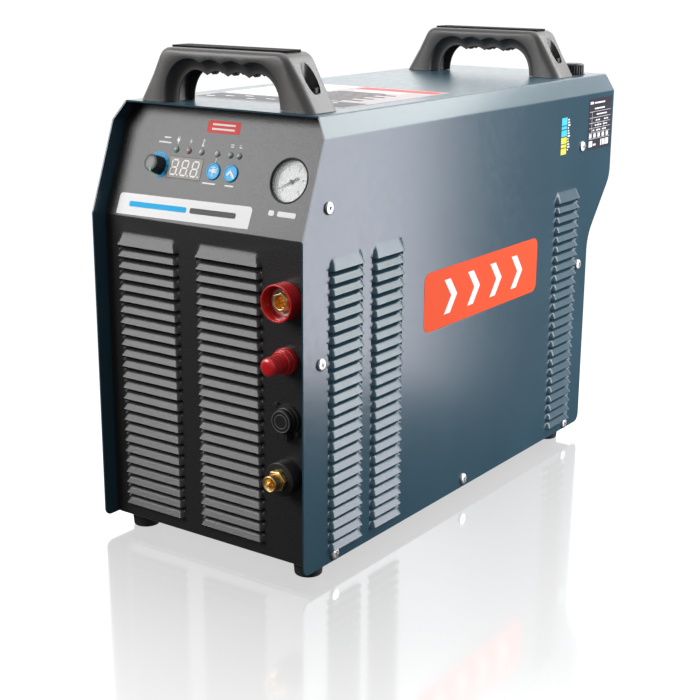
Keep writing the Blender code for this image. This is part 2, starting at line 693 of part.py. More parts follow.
def make_torch_connector(lower):
    """Insulator with the brass gas and power fitting for the torch."""
    centre = (CONNECTOR_X, TORCH_Z, 0)
    insulator = [(9.0, 13.1), (14.9, 13.1), (15.5, 12.5), (15.5, 0.3), (12, 0.3), (12, -10),
                 (9.0, -10)]
    turned("torch_insulator", "black", insulator, lower, centre, closed=True)
    tip = TORCH_TIP / MM
    tube = [(0, -12), (2.2, -12), (2.2, tip - 6), (6.2, tip), (7.3, tip), (7.3, 14), (8.6, 14),
            (8.6, -15), (5, -15), (5, -48.5), (0, -48.5)]
    fitting = turned("torch_fitting", "brass", tube, lower, centre, steps=18)
    hexagon = rods([(0, 0, 13.5 * MM, 17.3 * MM, 9.8 * MM)], 6)
    ring = tool("torch_hexagon", hexagon, lower, centre)
    cut(ring, tool("torch_hexagon_bore", rods([(0, 0, 0, 30 * MM, 7.0 * MM)], 24), lower, centre))
    add(fitting, ring)


# ----------------------------------------------------------------------- rear

def make_fan(rear, level):
    """Fan frame with its motor plate and struts, and the rotor in front of it."""
    centre = (-FAN_X, FAN_Z[level], 0)
    half = FAN_SIZE / 2
    front, back = -27.1 * MM, -2.1 * MM
    block = boxes([((-half, -half, front), (half, half, back))])
    frame = piece("fan_frame_" + level, block, "black", rear, centre)
    bore = rods([(0, 0, front - MM, back + MM, FAN_BORE)], 24)
    cut(frame, tool(level + "_fan_bore", bore, rear, centre))
    plate_front = back - 3 * MM
    strut = 2 * MM
    low = (strut - half, -strut, plate_front + 0.2 * MM)
    bar = boxes([(low, (half - strut, strut, back - GAP))])
    for number, degrees in enumerate((20, 110)):
        spoke = tool(f"{level}_fan_strut_{number}", bar, rear,
                     (*centre[:2], -0.2 * MM * number), (0, 0, math.radians(degrees)))
        add(frame, spoke)
    add(frame, tool(level + "_fan_plate", rods([(0, 0, plate_front, back, 20 * MM)], 16), rear,
                    centre))
    hole = rods([(0, 0, plate_front - MM, back + MM, 2.3 * MM)], 10)
    cut(frame, tool(level + "_fan_shaft_hole", hole, rear, centre))
    hub_back = plate_front - 0.8 * MM
    rotor = piece("fan_rotor_" + level, rods([(0, 0, front + MM, hub_back, 20 * MM)], 20),
                  "black", rear, centre)
    shaft = rods([(0, 0, hub_back - MM, back - MM, 1.9 * MM)], 10)
    add(rotor, tool(level + "_fan_shaft", shaft, rear, centre))
    blades = bmesh.new()
    count, reach, thin = 7, 54 * MM, 1.6 * MM
    for i in range(count):
        turn = Matrix.Rotation(math.tau * i / count, 4, "Z")
        pitch = Matrix.Rotation(math.radians(38), 4, "X")
        middle = Matrix.Translation(((reach + 18 * MM) / 2, 0, (front + hub_back) / 2))
        size = Matrix.Diagonal((reach - 18 * MM, thin, 18 * MM, 1))
        bmesh.ops.create_cube(blades, size=1, matrix=turn @ middle @ pitch @ size)
    add(rotor, tool(level + "_fan_blades", mesh_from(blades), rear, centre))


def make_air_unit(root):
    """Filter and regulator under the hood, with its knob above the cover."""
    x, y = REGULATOR
    body = [(0, 372), (19, 372), (19, 335), (0, 335)]
    unit = turned("filter_regulator", "aluminium", body, root, (x, y, 0), steps=18)
    cone = [(0, 388 * MM), (15 * MM, 388 * MM), (16.5 * MM, 371 * MM), (0, 371 * MM)]
    bonnet = tool("regulator_bonnet", profile(cone, closed=False), root, (x, y, 0))
    add(unit, turn_profile(bonnet, 16))
    port = rods([(0, 0, -30 * MM, -14 * MM, 10 * MM)], 16)
    add(unit, tool("regulator_port", port, root, (x, y, REGULATOR_PORT), REAR_ON))
    outlet = rods([(0, 0, -REGULATOR_OUTLET, -28 * MM, 6 * MM)], 12)
    add(unit, tool("regulator_outlet", outlet, root, (x, y, REGULATOR_PORT), REAR_ON))
    knob = extruded(fluted(12 * MM, 0.6 * MM, 16), 388.4 * MM, HEIGHT + 12.3 * MM)
    piece("regulator_knob", knob, "black", root, (x, y, 0))
    bowl = [(0, 273.5), (8, 275.5), (12.8, 284), (12.8, 334.6), (16, 334.6), (16, 282), (9, 272),
            (4, 270), (0, 270)]
    turned("filter_bowl", "clear", bowl, root, (x, y, 0), steps=18)
    drain = extruded(fluted(5 * MM, 0.6 * MM, 8), 260 * MM, 269.6 * MM)
    piece("bowl_drain", drain, "black", root, (x, y, 0))
    inlet = [(0, 19.4), (8, 19.4), (8, 27), (5.4, 27), (5.4, 46), (4.4, 48), (2.5, 48), (2.5, 22),
             (0, 22)]
    outer_first = [(r, -z) for r, z in inlet]
    turned("air_inlet", "brass", outer_first, root, (x, y, REGULATOR_PORT),
           (0, math.pi / 2, 0), steps=12)


def make_rear_fittings(rear):
    """Rotary mains switch, cable gland and earth terminal."""
    at = (-SWITCH[0], SWITCH[1], 0)
    plate, body = 24 * MM, 20 * MM
    switch = piece("power_switch", boxes([((-plate, -plate, GAP), (plate, plate, 3.3 * MM))]),
                   "grey", rear, at)
    block = boxes([((-body, -body, -45 * MM), (body, body, 1 * MM))])
    add(switch, tool("switch_body", block, rear, at))
    knob = piece("power_switch_knob", rods([(0, 0, 3.6 * MM, 9 * MM, 17 * MM)], 24), "black",
                 rear, at)
    grip = boxes([((-4.5 * MM, -16 * MM, 8 * MM), (4.5 * MM, 16 * MM, 20 * MM))])
    add(knob, tool("switch_grip", grip, rear, at))
    gland = [(7.5, 29), (13, 29), (17, 25), (17, 10), (19.5, 9.5), (19.5, 0.3), (15, 0.3),
             (15, -14), (7.5, -14)]
    turned("cable_gland", "black", gland, rear, (-GLAND[0], GLAND[1], 0), steps=16,
           closed=True)
    bolt = [(0, 14), (4, 14), (4, 6), (8, 6), (8, 0.3), (4, 0.3), (4, -10), (0, -10)]
    turned("earth_terminal", "brass", bolt, rear, (-EARTH[0], EARTH[1], 0), steps=12)


# --------------------------------------------------------------------- inside

def heatsink_outline(width, height, base, fins):
    """End view of an extruded heatsink, base uppermost."""
    pitch = width / fins
    fin = 0.3 * pitch
    points = [(width / 2, height), (-width / 2, height)]
    for i in range(fins):
        left = -width / 2 + i * pitch + (pitch - fin) / 2
        points += [(left, height - base), (left, 0), (left + fin, 0), (left + fin, height - base)]
    return points[:2] + [(-width / 2, height - base)] + points[2:] + [(width / 2, height - base)]


def make_power_section(root):
    """Heatsinks with their modules in the two air channels, and the power board."""
    width, height, base, fins = 104 * MM, 52 * MM, 8 * MM, 9
    profile_view = extruded(heatsink_outline(width, height, base, fins), -430 * MM, -200 * MM)
    tops = {}
    for level, z in (("lower", 14 * MM), ("upper", SHELF_Z + 16 * MM)):
        piece("heatsink_" + level, profile_view, "aluminium", root, (FAN_X, 0, z), FRONT_ON)
        tops[level] = z + height + GAP
    module = box_on(tops["lower"], (-76, -14), (230, 336), 22)
    piece("igbt_module", module, "black", root)
    bridge = box_on(tops["upper"], (-70, -20), (260, 350), 20)
    piece("rectifier_module", bridge, "black", root)
    low = tops["lower"] + 26 * MM
    board = piece("power_board", box_on(low, (-104, 20), (205, 425), 1.6), "board", root)
    cans = [(x * MM, y * MM, low + MM, low + 34 * MM, 15 * MM)
            for x in (-78, -42) for y in (350, 390)]
    add(board, tool("bus_capacitors", rods(cans, 16), root))


def box_on(bottom, across, along, height):
    """A block that stands on a height in metres; its own sizes are in millimetres."""
    low = (across[0] * MM, along[0] * MM, bottom)
    high = (across[1] * MM, along[1] * MM, bottom + height * MM)
    return boxes([(low, high)])


def make_magnetics(root):
    """Main transformer and output choke on the tray's right side."""
    core = piece("transformer_core", box_on(MAGNETICS_Z, (74, 102), (206, 294), 82), "zinc", root)
    for name, along in (("front", (220, 240)), ("back", (260, 280))):
        window = box_on(MAGNETICS_Z + 14 * MM, (38, 138), along, 54)
        cut(core, tool(f"core_window_{name}", window, root))
    coil = piece("transformer_coil", box_on(MAGNETICS_Z + 16 * MM, (64, 112), (223, 277), 50),
                 "copper", root)
    leg = box_on(0, (73.6, 102.4), (239.6, 260.4), 100)
    cut(coil, tool("coil_opening", leg, root))
    ring_radius, wire_radius = 26, 11
    circle = [(ring_radius + x, z) for x, z in arc(0, 0, wire_radius, 90, -225, 7)]
    turned("output_choke", "copper", circle, root,
           (MAGNETICS_X, 360 * MM, MAGNETICS_Z + 38 * MM), (0, math.pi / 2, 0), 18, closed=True)


def hose_route(start, end):
    """Down from the regulator: a level run, a bend down, a drop and a bend to the front."""
    bend, last_bend, straight = 45 * MM, 18 * MM, 4 * MM
    turn_y = end[1] + straight
    bend_y = turn_y + last_bend + bend
    bends = arc(bend_y, start[2] - bend, bend, 90, 180, 6)
    bends += arc(turn_y, end[2] + last_bend, last_bend, 0, -90, 6)
    return [start] + [(end[0], y, z) for y, z in bends] + [end]


def make_air_line(root):
    """Solenoid valve behind the torch fitting, fed by a hose from the regulator."""
    x, z, valve_back = CONNECTOR_X, TORCH_Z, 107 * MM
    low, high = (x - 15 * MM, 65 * MM, z - 14 * MM), (x + 15 * MM, valve_back, z + 12 * MM)
    valve = piece("solenoid_valve", boxes([(low, high)]), "brass", root)
    coil = boxes([((x - 13 * MM, 70 * MM, z + 11 * MM), (x + 13 * MM, 98 * MM, z + 42 * MM))])
    add(valve, tool("valve_coil", coil, root))
    outlet_y = REGULATOR[1] - REGULATOR_OUTLET - GAP
    route = hose_route((REGULATOR[0], outlet_y, REGULATOR_PORT), (x, valve_back + GAP, z))
    curve = bpy.data.curves.new("air_hose", "CURVE")
    curve.dimensions = "3D"
    curve.bevel_depth = 4 * MM
    curve.bevel_resolution = 1
    curve.use_fill_caps = True
    spline = curve.splines.new("POLY")
    spline.points.add(len(route) - 1)
    for point, position in zip(spline.points, route):
        point.co = (*position, 1)
    hose = bpy.data.objects.new("air_hose", curve)
    PARTS.objects.link(hose)
    curve.materials.append(finish_material("hose"))
    place(hose, root, (0, 0, 0), (0, 0, 0))


# ----------------------------------------------------------------------- main

clear_scene()
PARTS = new_collection("plasma_cutter_unit")
CUTTERS = new_collection("cutters")
MIDDLE_Y = (DEPTH_TOP + RECESS - TORCH_TIP) / 2

ROOT = new_empty("plasma_cutter", at=(0, -MIDDLE_Y, FOOT_HEIGHT))
LOWER_FACE = new_empty("lower_face", ROOT, (0, RECESS, 0), FRONT_ON)
UPPER_FACE = new_empty("upper_face", ROOT, (0, RECESS, FOLD), SLOPE_ON)
REAR_FACE = new_empty("rear_face", ROOT, (0, REAR_PANEL, 0), REAR_ON)

make_cover(ROOT)
make_front_panel(ROOT, LOWER_FACE, UPPER_FACE)
make_rear_panel(ROOT, REAR_FACE)
make_base_tray(ROOT)
make_shelf(ROOT)
make_feet(ROOT)
make_handles(ROOT)
make_control_board(UPPER_FACE)
make_current_control(UPPER_FACE)
make_buttons(UPPER_FACE)
make_gauge(UPPER_FACE)
make_work_socket(LOWER_FACE)
make_pilot_terminal(LOWER_FACE)
make_control_socket(LOWER_FACE)
make_torch_connector(LOWER_FACE)
make_fan(REAR_FACE, "lower")
make_fan(REAR_FACE, "upper")
make_air_unit(ROOT)
make_rear_fittings(REAR_FACE)
make_power_section(ROOT)
make_magnetics(ROOT)
make_air_line(ROOT)
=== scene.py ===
"""Looks for the plasma cutter unit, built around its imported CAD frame.

Shapes are modelled in millimetres in the flat frames of the case's faces and
then placed in the row frame, which is in metres.
"""
import json
import math
import random

import bmesh
import bpy
from mathutils import Euler, Matrix, Vector


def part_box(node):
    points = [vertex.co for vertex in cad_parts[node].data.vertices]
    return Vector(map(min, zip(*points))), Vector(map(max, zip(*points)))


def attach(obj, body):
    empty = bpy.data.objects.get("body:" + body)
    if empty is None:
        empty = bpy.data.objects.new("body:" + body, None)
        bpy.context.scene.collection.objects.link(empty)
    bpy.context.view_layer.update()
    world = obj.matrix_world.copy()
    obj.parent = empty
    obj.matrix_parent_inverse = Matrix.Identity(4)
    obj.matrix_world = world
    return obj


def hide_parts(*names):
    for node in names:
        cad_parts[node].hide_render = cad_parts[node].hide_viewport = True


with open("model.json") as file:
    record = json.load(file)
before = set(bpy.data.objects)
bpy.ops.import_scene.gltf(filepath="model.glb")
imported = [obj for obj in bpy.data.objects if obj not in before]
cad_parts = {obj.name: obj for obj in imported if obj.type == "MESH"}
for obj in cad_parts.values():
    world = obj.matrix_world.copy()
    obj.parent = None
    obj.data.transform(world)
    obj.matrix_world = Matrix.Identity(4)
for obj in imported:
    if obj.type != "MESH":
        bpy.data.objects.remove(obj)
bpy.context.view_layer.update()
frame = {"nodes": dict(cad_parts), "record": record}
SCENE = bpy.context.scene
MM = 0.001
COVER_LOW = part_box("cover")[0]
ORIGIN = Vector((0, COVER_LOW.y, COVER_LOW.z))
SLOTS = {part["node"]: part["material_slot"] for part in frame["record"]["subparts"]}

# Case, in millimetres from the lower front edge of the cover
SIDE = 120.0
HEIGHT = 395.2
SHEET = 1.5
CHAMFER_IN, CHAMFER_DOWN = 11.3, 17.5
KNEE = 296.3
LEAN = 0.379
SLANT = math.hypot(1, LEAN)
DEPTH_TOP, DEPTH_BOTTOM = 582.5, 532.5
HOOD_TOP, HOOD_BOTTOM = 280.6, 218.2
RECESS = 15.6
FOLD = KNEE - RECESS * (SLANT - 1) / LEAN
REAR_PANEL = 520.0
PANEL_HALF = SIDE - SHEET - 0.8
SHOULDER_Z, PANEL_TOP_Z, PANEL_TOP_X = 377.0, 392.9, 107.4
ROW = 49.8                      # line of the controls, up the sloping face
LED_ROW = 65.7
LED_X = (-49.7, -35.2, -20.5, -2.3, 12.6, 22.4)
KNOB_X = -67.5
DISPLAY_X, DISPLAY_W, DISPLAY_H = -35.75, 39.0, 19.1
BUTTON_X = {"gas_test_button": -2.6, "mode_button": 17.4}
GAUGE_X = 80.3
CONNECTOR_X = 91.0
SOCKET_Z, PILOT_Z, CONTROL_Z, TORCH_Z = 241.4, 188.6, 135.8, 83.6
HANDLE_Y = (62.5, 507.5)
REGULATOR = (83.7, 551.2)
FAN_X, FAN_Z = -45.0, (72.0, 200.0)
SWITCH, GLAND, EARTH, PORT = (-60.0, 325.0), (70.0, 60.0), (98.0, 24.0), (83.7, 353.0)

# Louvres
ROWS = 25
LOUVRE, TOP_LOUVRE = 9.2, 12.6  # a louvre's length from top to lip
RISE = 4.3                      # height of a louvre's lip
DIP = 3.6                       # how far the metal sinks right below a lip
END = 4.0                       # length of a louvre's rounded end
FRONT_END = 2.0                 # the same, on the front panel
INSET = 5.5                     # how much shorter a louvre is at its top, at each end
SIDE_COLUMNS = ((35.0, 87.0), (100.0, 151.0), (449.0, 504.0))
SIDE_FIRST, SIDE_PITCH = 266.8, 10.62
FRONT_COLUMNS = ((-103.5, -30.5), (-10.0, 64.5))
FRONT_FIRST, FRONT_PITCH = 267.0, 10.52


def face(x, y, z, *turn):
    """Frame of a face: local millimetres to metres in the row frame."""
    place = Matrix.Translation(ORIGIN + Vector((x, y, z)) * MM)
    return place @ Euler(turn or (0, 0, 0)).to_matrix().to_4x4() @ Matrix.Scale(MM, 4)


CASE = face(0, 0, 0)
LOWER = face(0, RECESS, 0, math.pi / 2, 0, 0)
UPPER = face(0, RECESS, FOLD, math.atan2(1, LEAN), 0, 0)
REAR = face(0, REAR_PANEL, 0, math.pi / 2, 0, math.pi)
RIGHT = face(SIDE, 0, 0, math.pi / 2, 0, math.pi / 2)
LEFT = face(-SIDE, 0, 0, math.pi / 2, 0, -math.pi / 2)
TOP = face(0, 0, HEIGHT)
SIDES = (("right", RIGHT, 1), ("left", LEFT, -1))
SIDE_SCREWS = ((35.2, 320.5), (24.5, 187.6), (45.0, 6.5), (269.4, 8.2), (495.5, 5.9),
               (511.1, 189.6), (507.6, 321.9))
SECOND_FILM = (0.14, 0.24)      # print on print, from bottom to top
DIAL_FILM = (-4.78, -4.68)


def moved(matrix, x, y, z=0.0, turn=0.0):
    """The frame shifted by x, y, z millimetres and turned about its z in degrees."""
    return matrix @ Matrix.Translation((x, y, z)) @ Matrix.Rotation(math.radians(turn), 4, "Z")


# ------------------------------------------------------------------ materials

class Nodes:
    """A node tree, with short calls for the nodes used here."""

    def __init__(self, owner):
        owner.use_nodes = True
        self.owner, self.tree = owner, owner.node_tree
        self.coordinates = self.add("ShaderNodeTexCoord").outputs
        self.position = self.coordinates["Object"]

    def add(self, kind, inputs=(), **settings):
        node = self.tree.nodes.new(kind)
        for key, value in settings.items():
            setattr(node, key, value)
        return self.feed(node, inputs)

    def feed(self, node, inputs):
        """Link each input to a socket, or set its value."""
        for key, value in dict(inputs).items():
            if isinstance(value, bpy.types.NodeSocket):
                self.tree.links.new(value, node.inputs[key])
            else:
                node.inputs[key].default_value = value
        return node

    def number(self, operation, *values):
        return self.add("ShaderNodeMath", enumerate(values), operation=operation).outputs[0]

    def vector(self, operation, *values):
        return self.add("ShaderNodeVectorMath", enumerate(values), operation=operation).outputs

    def noise(self, scale, detail=2.0, rough=0.5, stretch=None):
        where = self.position
        if stretch:
            where = self.add("ShaderNodeMapping", {"Vector": where, "Scale": stretch}).outputs[0]
        inputs = {"Vector": where, "Scale": scale, "Detail": detail, "Roughness": rough}
        return self.add("ShaderNodeTexNoise", inputs).outputs["Fac"]

    def spread(self, value, low, high, start=0.3, end=0.7, **settings):
        """A value's range from start to end, stretched to low to high."""
        inputs = {"Value": value, "From Min": start, "From Max": end, "To Min": low,
                  "To Max": high}
        return self.add("ShaderNodeMapRange", inputs, **settings).outputs["Result"]

    def mix(self, factor, *colours):
        a, b = ((*c, 1) if isinstance(c, tuple) else c for c in colours)
        return self.add("ShaderNodeMix", {0: factor, 6: a, 7: b}, data_type="RGBA").outputs[2]

    def bump(self, height, strength, distance, **below):
        inputs = {"Height": height, "Strength": strength, "Distance": distance, **below}
        normal = self.add("ShaderNodeBump", inputs).outputs["Normal"]
        self.surface(Normal=normal)
        return normal

    def surface(self, **inputs):
        named = {key.replace("_", " "): value for key, value in inputs.items()}
        self.feed(self.tree.nodes["Principled BSDF"], named)


def finish(name):
    return Nodes(bpy.data.materials.new(name))


def shade(colour, share):
    return tuple(c * share for c in colour)


def plain(name, colour, rough, metallic=0.0, grain=900.0, depth=0.1, height=0.00015,
          vary=0.12, wear=0.0, coat=0.0, stretch=None, specular=0.5, alpha=1.0):
    """A finish with grain, soft colour changes, uneven gloss and worn edges."""
    n = finish(name)
    base = n.mix(n.spread(n.noise(14.0, 3.0), 0.0, 1.0), shade(colour, 1 - vary),
                 shade(colour, 1 + vary))
    if wear:
        convex = n.add("ShaderNodeNewGeometry").outputs["Pointiness"]
        light = tuple(min(1.0, c * 1.7 + 0.04) for c in colour)
        base = n.mix(wear, base, n.mix(n.spread(convex, 0.0, 1.0, 0.51, 0.6), colour, light))
    fine = n.noise(grain, 3.0, 0.6, stretch)
    n.bump(fine, depth, height)
    n.surface(Base_Color=base, Metallic=metallic, Specular_IOR_Level=specular, Alpha=alpha,
              Roughness=n.spread(fine, rough * 0.88, min(1.0, rough * 1.14)),
              Coat_Weight=coat, Coat_Roughness=0.12)
    return n.owner


def case_paint():
    """Satin powder paint: fine orange peel, a dust film on faces that look up."""
    n = finish("cover_paint")
    base = n.mix(n.spread(n.noise(7.0, 3.0), 0.0, 1.0), (0.024, 0.062, 0.088),
                 (0.032, 0.078, 0.108))
    normal = n.add("ShaderNodeNewGeometry").outputs["Normal"]
    upward = n.add("ShaderNodeSeparateXYZ", {0: normal}).outputs["Z"]
    dust = n.spread(upward, 0.0, 0.11, 0.8, 0.98)
    peel = n.bump(n.noise(420.0), 0.05, 0.0003)
    n.bump(n.noise(2300.0), 0.05, 0.0001, Normal=peel)
    n.surface(Base_Color=base,
              Roughness=n.number("ADD", n.spread(n.noise(160.0), 0.19, 0.24), dust))
    return n.owner


def textured_powder():
    """Black powder coat with a sandy surface."""
    n = finish("textured_powder")
    grains = n.noise(900.0)
    n.bump(grains, 0.42, 0.0003)
    base = n.mix(n.spread(grains, 0.0, 1.0, 0.35, 0.68), (0.009, 0.0085, 0.009),
                 (0.038, 0.036, 0.036))
    n.surface(Base_Color=base, Roughness=n.spread(grains, 0.31, 0.39))
    return n.owner


def spangle_zinc():
    n = finish("zinc_sheet")
    cells = n.add("ShaderNodeTexVoronoi", {"Vector": n.position, "Scale": 90.0}).outputs
    n.bump(n.noise(700.0), 0.05, 0.0001)
    base = n.mix(n.spread(cells["Color"], 0.0, 1.0, 0.0, 1.0), (0.45, 0.46, 0.48),
                 (0.62, 0.63, 0.64))
    n.surface(Base_Color=base, Metallic=1.0,
              Roughness=n.spread(cells["Distance"], 0.28, 0.45, 0.0, 0.01))
    return n.owner


def circuit_board():
    n = finish("circuit_board")
    inputs = {"Vector": n.position, "Scale": 160.0, "Color1": (0.02, 0.14, 0.05, 1),
              "Color2": (0.03, 0.18, 0.07, 1), "Mortar": (0.10, 0.30, 0.12, 1)}
    tracks = n.add("ShaderNodeTexBrick", inputs).outputs
    n.bump(tracks["Fac"], 0.1, 0.0001)
    n.surface(Base_Color=tracks["Color"], Roughness=n.spread(n.noise(300.0), 0.3, 0.45))
    return n.owner


def wound_copper():
    n = finish("wound_copper")
    turns = n.add("ShaderNodeTexWave", {"Vector": n.position, "Scale": 220.0},
                  bands_direction="Z").outputs["Fac"]
    n.bump(turns, 0.5, 0.0006)
    n.surface(Base_Color=n.mix(turns, (0.22, 0.07, 0.03), (0.66, 0.28, 0.13)), Metallic=0.8,
              Roughness=n.spread(n.noise(500.0), 0.28, 0.4))
    return n.owner


# One finish for each material slot
LOOKS = {
    "cover_paint": case_paint(),
    "powder_coat": textured_powder(),
    "zinc_plate": spangle_zinc(),
    "rubber": plain("foot_rubber", (0.014, 0.014, 0.014), 0.8, depth=0.25, wear=0.4),
    "handle_plastic": plain("handle_moulding", (0.046, 0.042, 0.040), 0.42, grain=1300.0,
                            depth=0.35, height=0.00025, vary=0.1, wear=0.5, specular=0.8),
    "black_plastic": plain("black_moulding", (0.012, 0.012, 0.013), 0.42, grain=1600.0, wear=0.5),
    "red_plastic": plain("red_moulding", (0.56, 0.008, 0.011), 0.24, depth=0.05, vary=0.08,
                         wear=0.6, coat=0.7),
    "blue_button": plain("blue_button", (0.008, 0.38, 0.76), 0.34, depth=0.05, vary=0.05,
                         specular=0.3),
    "grey_plastic": plain("grey_plastic", (0.36, 0.35, 0.34), 0.3, depth=0.05, vary=0.06),
    "dial_white": plain("dial_white", (0.80, 0.80, 0.79), 0.45, depth=0.03, vary=0.02),
    "lens": plain("gauge_lens", (0.9, 0.95, 0.95), 0.03, depth=0.01, vary=0.01, alpha=0.10,
                  specular=0.15),
    "bowl_clear": plain("clear_bowl", (0.75, 0.82, 0.82), 0.08, depth=0.02, alpha=0.45),
    "brass": plain("turned_brass", (1.0, 0.69, 0.30), 0.30, 1.0, grain=500.0, depth=0.06,
                   vary=0.1, wear=0.3),
    "bolt_steel": plain("nickel_steel", (0.74, 0.74, 0.72), 0.36, 1.0, grain=600.0, depth=0.05,
                        vary=0.06),
    "aluminium": plain("aluminium", (0.62, 0.63, 0.64), 0.36, 1.0, grain=240.0, depth=0.12,
                       stretch=(1, 0.05, 1)),
    "circuit_board": circuit_board(),
    "core_steel": plain("core_laminations", (0.13, 0.13, 0.14), 0.5, 0.7, depth=0.4,
                        stretch=(1, 0.02, 0.02)),
    "copper": wound_copper(),
    "air_hose": plain("air_hose", (0.02, 0.08, 0.30), 0.4, depth=0.05),
    # further finishes
    "gloss_black": plain("gloss_black", (0.02, 0.02, 0.021), 0.32, depth=0.04, coat=0.1),
    "black_steel": plain("blackened_steel", (0.03, 0.03, 0.032), 0.35, 0.9, grain=700.0,
                         depth=0.06),
    # painted shade: near black for the raised pad on each handle's top, darker than the moulding,
    # for the shaded step at its front edge
    "pad_painted_shade": plain("pad_painted_shade", (0.010, 0.010, 0.010), 0.75, depth=0.2, specular=0.1),
    # painted highlight: lighter grey for the two rings on the control socket's lid, standing in
    # for highlights on the lid's bead edges
    "ring_painted_highlight": plain("ring_painted_highlight", (0.14, 0.14, 0.145), 0.35, depth=0.04),
    "pointer": plain("pointer_green", (0.02, 0.45, 0.24), 0.35, vary=0.05, depth=0.03),
    "segment": plain("display_segment", (0.80, 0.79, 0.76), 0.4, vary=0.02, depth=0.03,
                     specular=0.25),
    "window": plain("display_window", (0.27, 0.25, 0.235), 0.4, vary=0.05, depth=0.04,
                    specular=0.25),
}
for name, colour in (("green_lens", (0.30, 0.43, 0.36)), ("red_lens", (0.46, 0.33, 0.31)),
                     ("clear_lens", (0.52, 0.52, 0.50))):
    LOOKS[name] = plain(name, colour, 0.2, vary=0.1, depth=0.03, coat=0.5)
for ink, colour, rough, vary, specular in (
        ("white", (0.84, 0.84, 0.84), 0.5, 0.02, 0.25),
        ("grey", (0.10, 0.10, 0.105), 0.5, 0.04, 0.15),
        ("dark", (0.022, 0.018, 0.030), 0.6, 0.05, 0.15),
        ("red", (0.74, 0.06, 0.05), 0.5, 0.03, 0.2),
        ("orange", (0.80, 0.085, 0.022), 0.6, 0.03, 0.12),
        ("blue", (0.008, 0.42, 0.80), 0.5, 0.04, 0.15),
        ("cyan", (0.02, 0.55, 0.78), 0.4, 0.03, 0.5),
        ("yellow", (0.80, 0.72, 0.02), 0.4, 0.03, 0.5),
        ("pink", (0.62, 0.36, 0.34), 0.45, 0.04, 0.5),
        ("pale", (0.36, 0.31, 0.32), 0.45, 0.04, 0.5)):
    LOOKS[ink] = plain(ink + "_print", colour, rough, vary=vary, depth=0.04, specular=specular)


# --------------------------------------------------------------- mesh builders

def build(name, bm, matrix, what, body="housing", look=None, bevel=0.0, segments=2,
          smooth=32.0, limit=30.0, normals=True):
    """Turn a bmesh in face millimetres into a piece of the object.

    `what` is the CAD node it replaces, or else its material slot.
    """
    slot = SLOTS.get(what, what)
    if normals:
        bmesh.ops.recalc_face_normals(bm, faces=bm.faces)
    bm.transform(matrix)
    mesh = bpy.data.meshes.new(name)
    bm.to_mesh(mesh)
    bm.free()
    mesh.materials.append(LOOKS[look or slot])
    mesh.shade_smooth()
    mesh.set_sharp_from_angle(angle=math.radians(smooth))
    obj = bpy.data.objects.new(name, mesh)
    SCENE.collection.objects.link(obj)
    if bevel:
        modifier = obj.modifiers.new("edges", "BEVEL")
        modifier.width = bevel * MM
        modifier.segments = segments
        modifier.limit_method = "ANGLE"
        modifier.angle_limit = math.radians(limit)
        modifier.harden_normals = True
        modifier.use_clamp_overlap = True
    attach(obj, body)
    if what in SLOTS:
        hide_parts(what)
    return obj


def arc(cx, cy, radius, start, end, steps):
    points = []
    for i in range(steps + 1):
        angle = math.radians(start + (end - start) * i / steps)
        points.append((cx + radius * math.cos(angle), cy + radius * math.sin(angle)))
    return points


def circle(cx, cy, radius, steps=48):
    return arc(cx, cy, radius, 0, 360, steps)[:-1]


def rounded(corners, steps=6):
    """A closed outline whose corners (x, y, radius) are rounded."""
    points = []
    for i, (x, y, radius) in enumerate(corners):
        if not radius:
            points.append((x, y))
            continue
        corner = Vector((x, y))
        before = (Vector(corners[i - 1][:2]) - corner).normalized()
        after = (Vector(corners[(i + 1) % len(corners)][:2]) - corner).normalized()
        half = before.angle(after) / 2
        centre = corner + (before + after).normalized() * radius / math.sin(half)
        start = corner + before * radius / math.tan(half) - centre
        side = 1 if before.cross(after) < 0 else -1
        for step in range(steps + 1):
            turn = Matrix.Rotation(side * (math.pi - 2 * half) * step / steps, 2)
            points.append(tuple(centre + turn @ start))
    return points


def block(x0, y0, x1, y1, radius=0.0, steps=4):
    corners = ((x0, y0), (x1, y0), (x1, y1), (x0, y1))
    return rounded([(x, y, radius) for x, y in corners], steps)


def blocks(radius, *boxes):
    return [block(*box, radius) for box in boxes]


def lathe(points, steps=64, bm=None, closed=False, at=(0, 0)):
    """Revolve (radius, height) points about z."""
    bm = bm or bmesh.new()
    rings = []
    for radius, z in points:
        count = steps if radius > 1e-6 else 1
        ring = []
        for i in range(count):
            angle = math.tau * i / count
            ring.append(bm.verts.new((at[0] + radius * math.cos(angle),
                                      at[1] + radius * math.sin(angle), z)))
        rings.append(ring)
    pairs = list(zip(rings, rings[1:])) + ([(rings[-1], rings[0])] if closed else [])
    for a, b in pairs:
        for i in range(steps if len(a) > 1 or len(b) > 1 else 0):
            j = i + 1
            quad = (a[i % len(a)], a[j % len(a)], b[j % len(b)], b[i % len(b)])
            bm.faces.new(list(dict.fromkeys(quad)))
    return bm


def fill(bm, loops, normal=(0, 0, 1)):
    edges = []
    for loop in loops:
        for a, b in zip(loop, loop[1:] + loop[:1]):
            edges.append(bm.edges.get((a, b)) or bm.edges.new((a, b)))
    return bmesh.ops.triangle_fill(bm, use_beauty=True, use_dissolve=False, edges=edges,
                                   normal=normal)


def slab(outline, low, high, holes=(), bm=None):
    """A flat outline with holes, solid from z = low to z = high."""
    bm = bm or bmesh.new()
    loops = [[bm.verts.new((x, y, low)) for x, y in loop] for loop in (outline, *holes)]
    made = fill(bm, loops)["geom"]
    faces = [item for item in made if isinstance(item, bmesh.types.BMFace)]
    drawn = bmesh.ops.extrude_face_region(bm, geom=faces)["geom"]
    tops = [item for item in drawn if isinstance(item, bmesh.types.BMVert)]
    bmesh.ops.translate(bm, verts=tops, vec=(0, 0, high - low))
    return bm


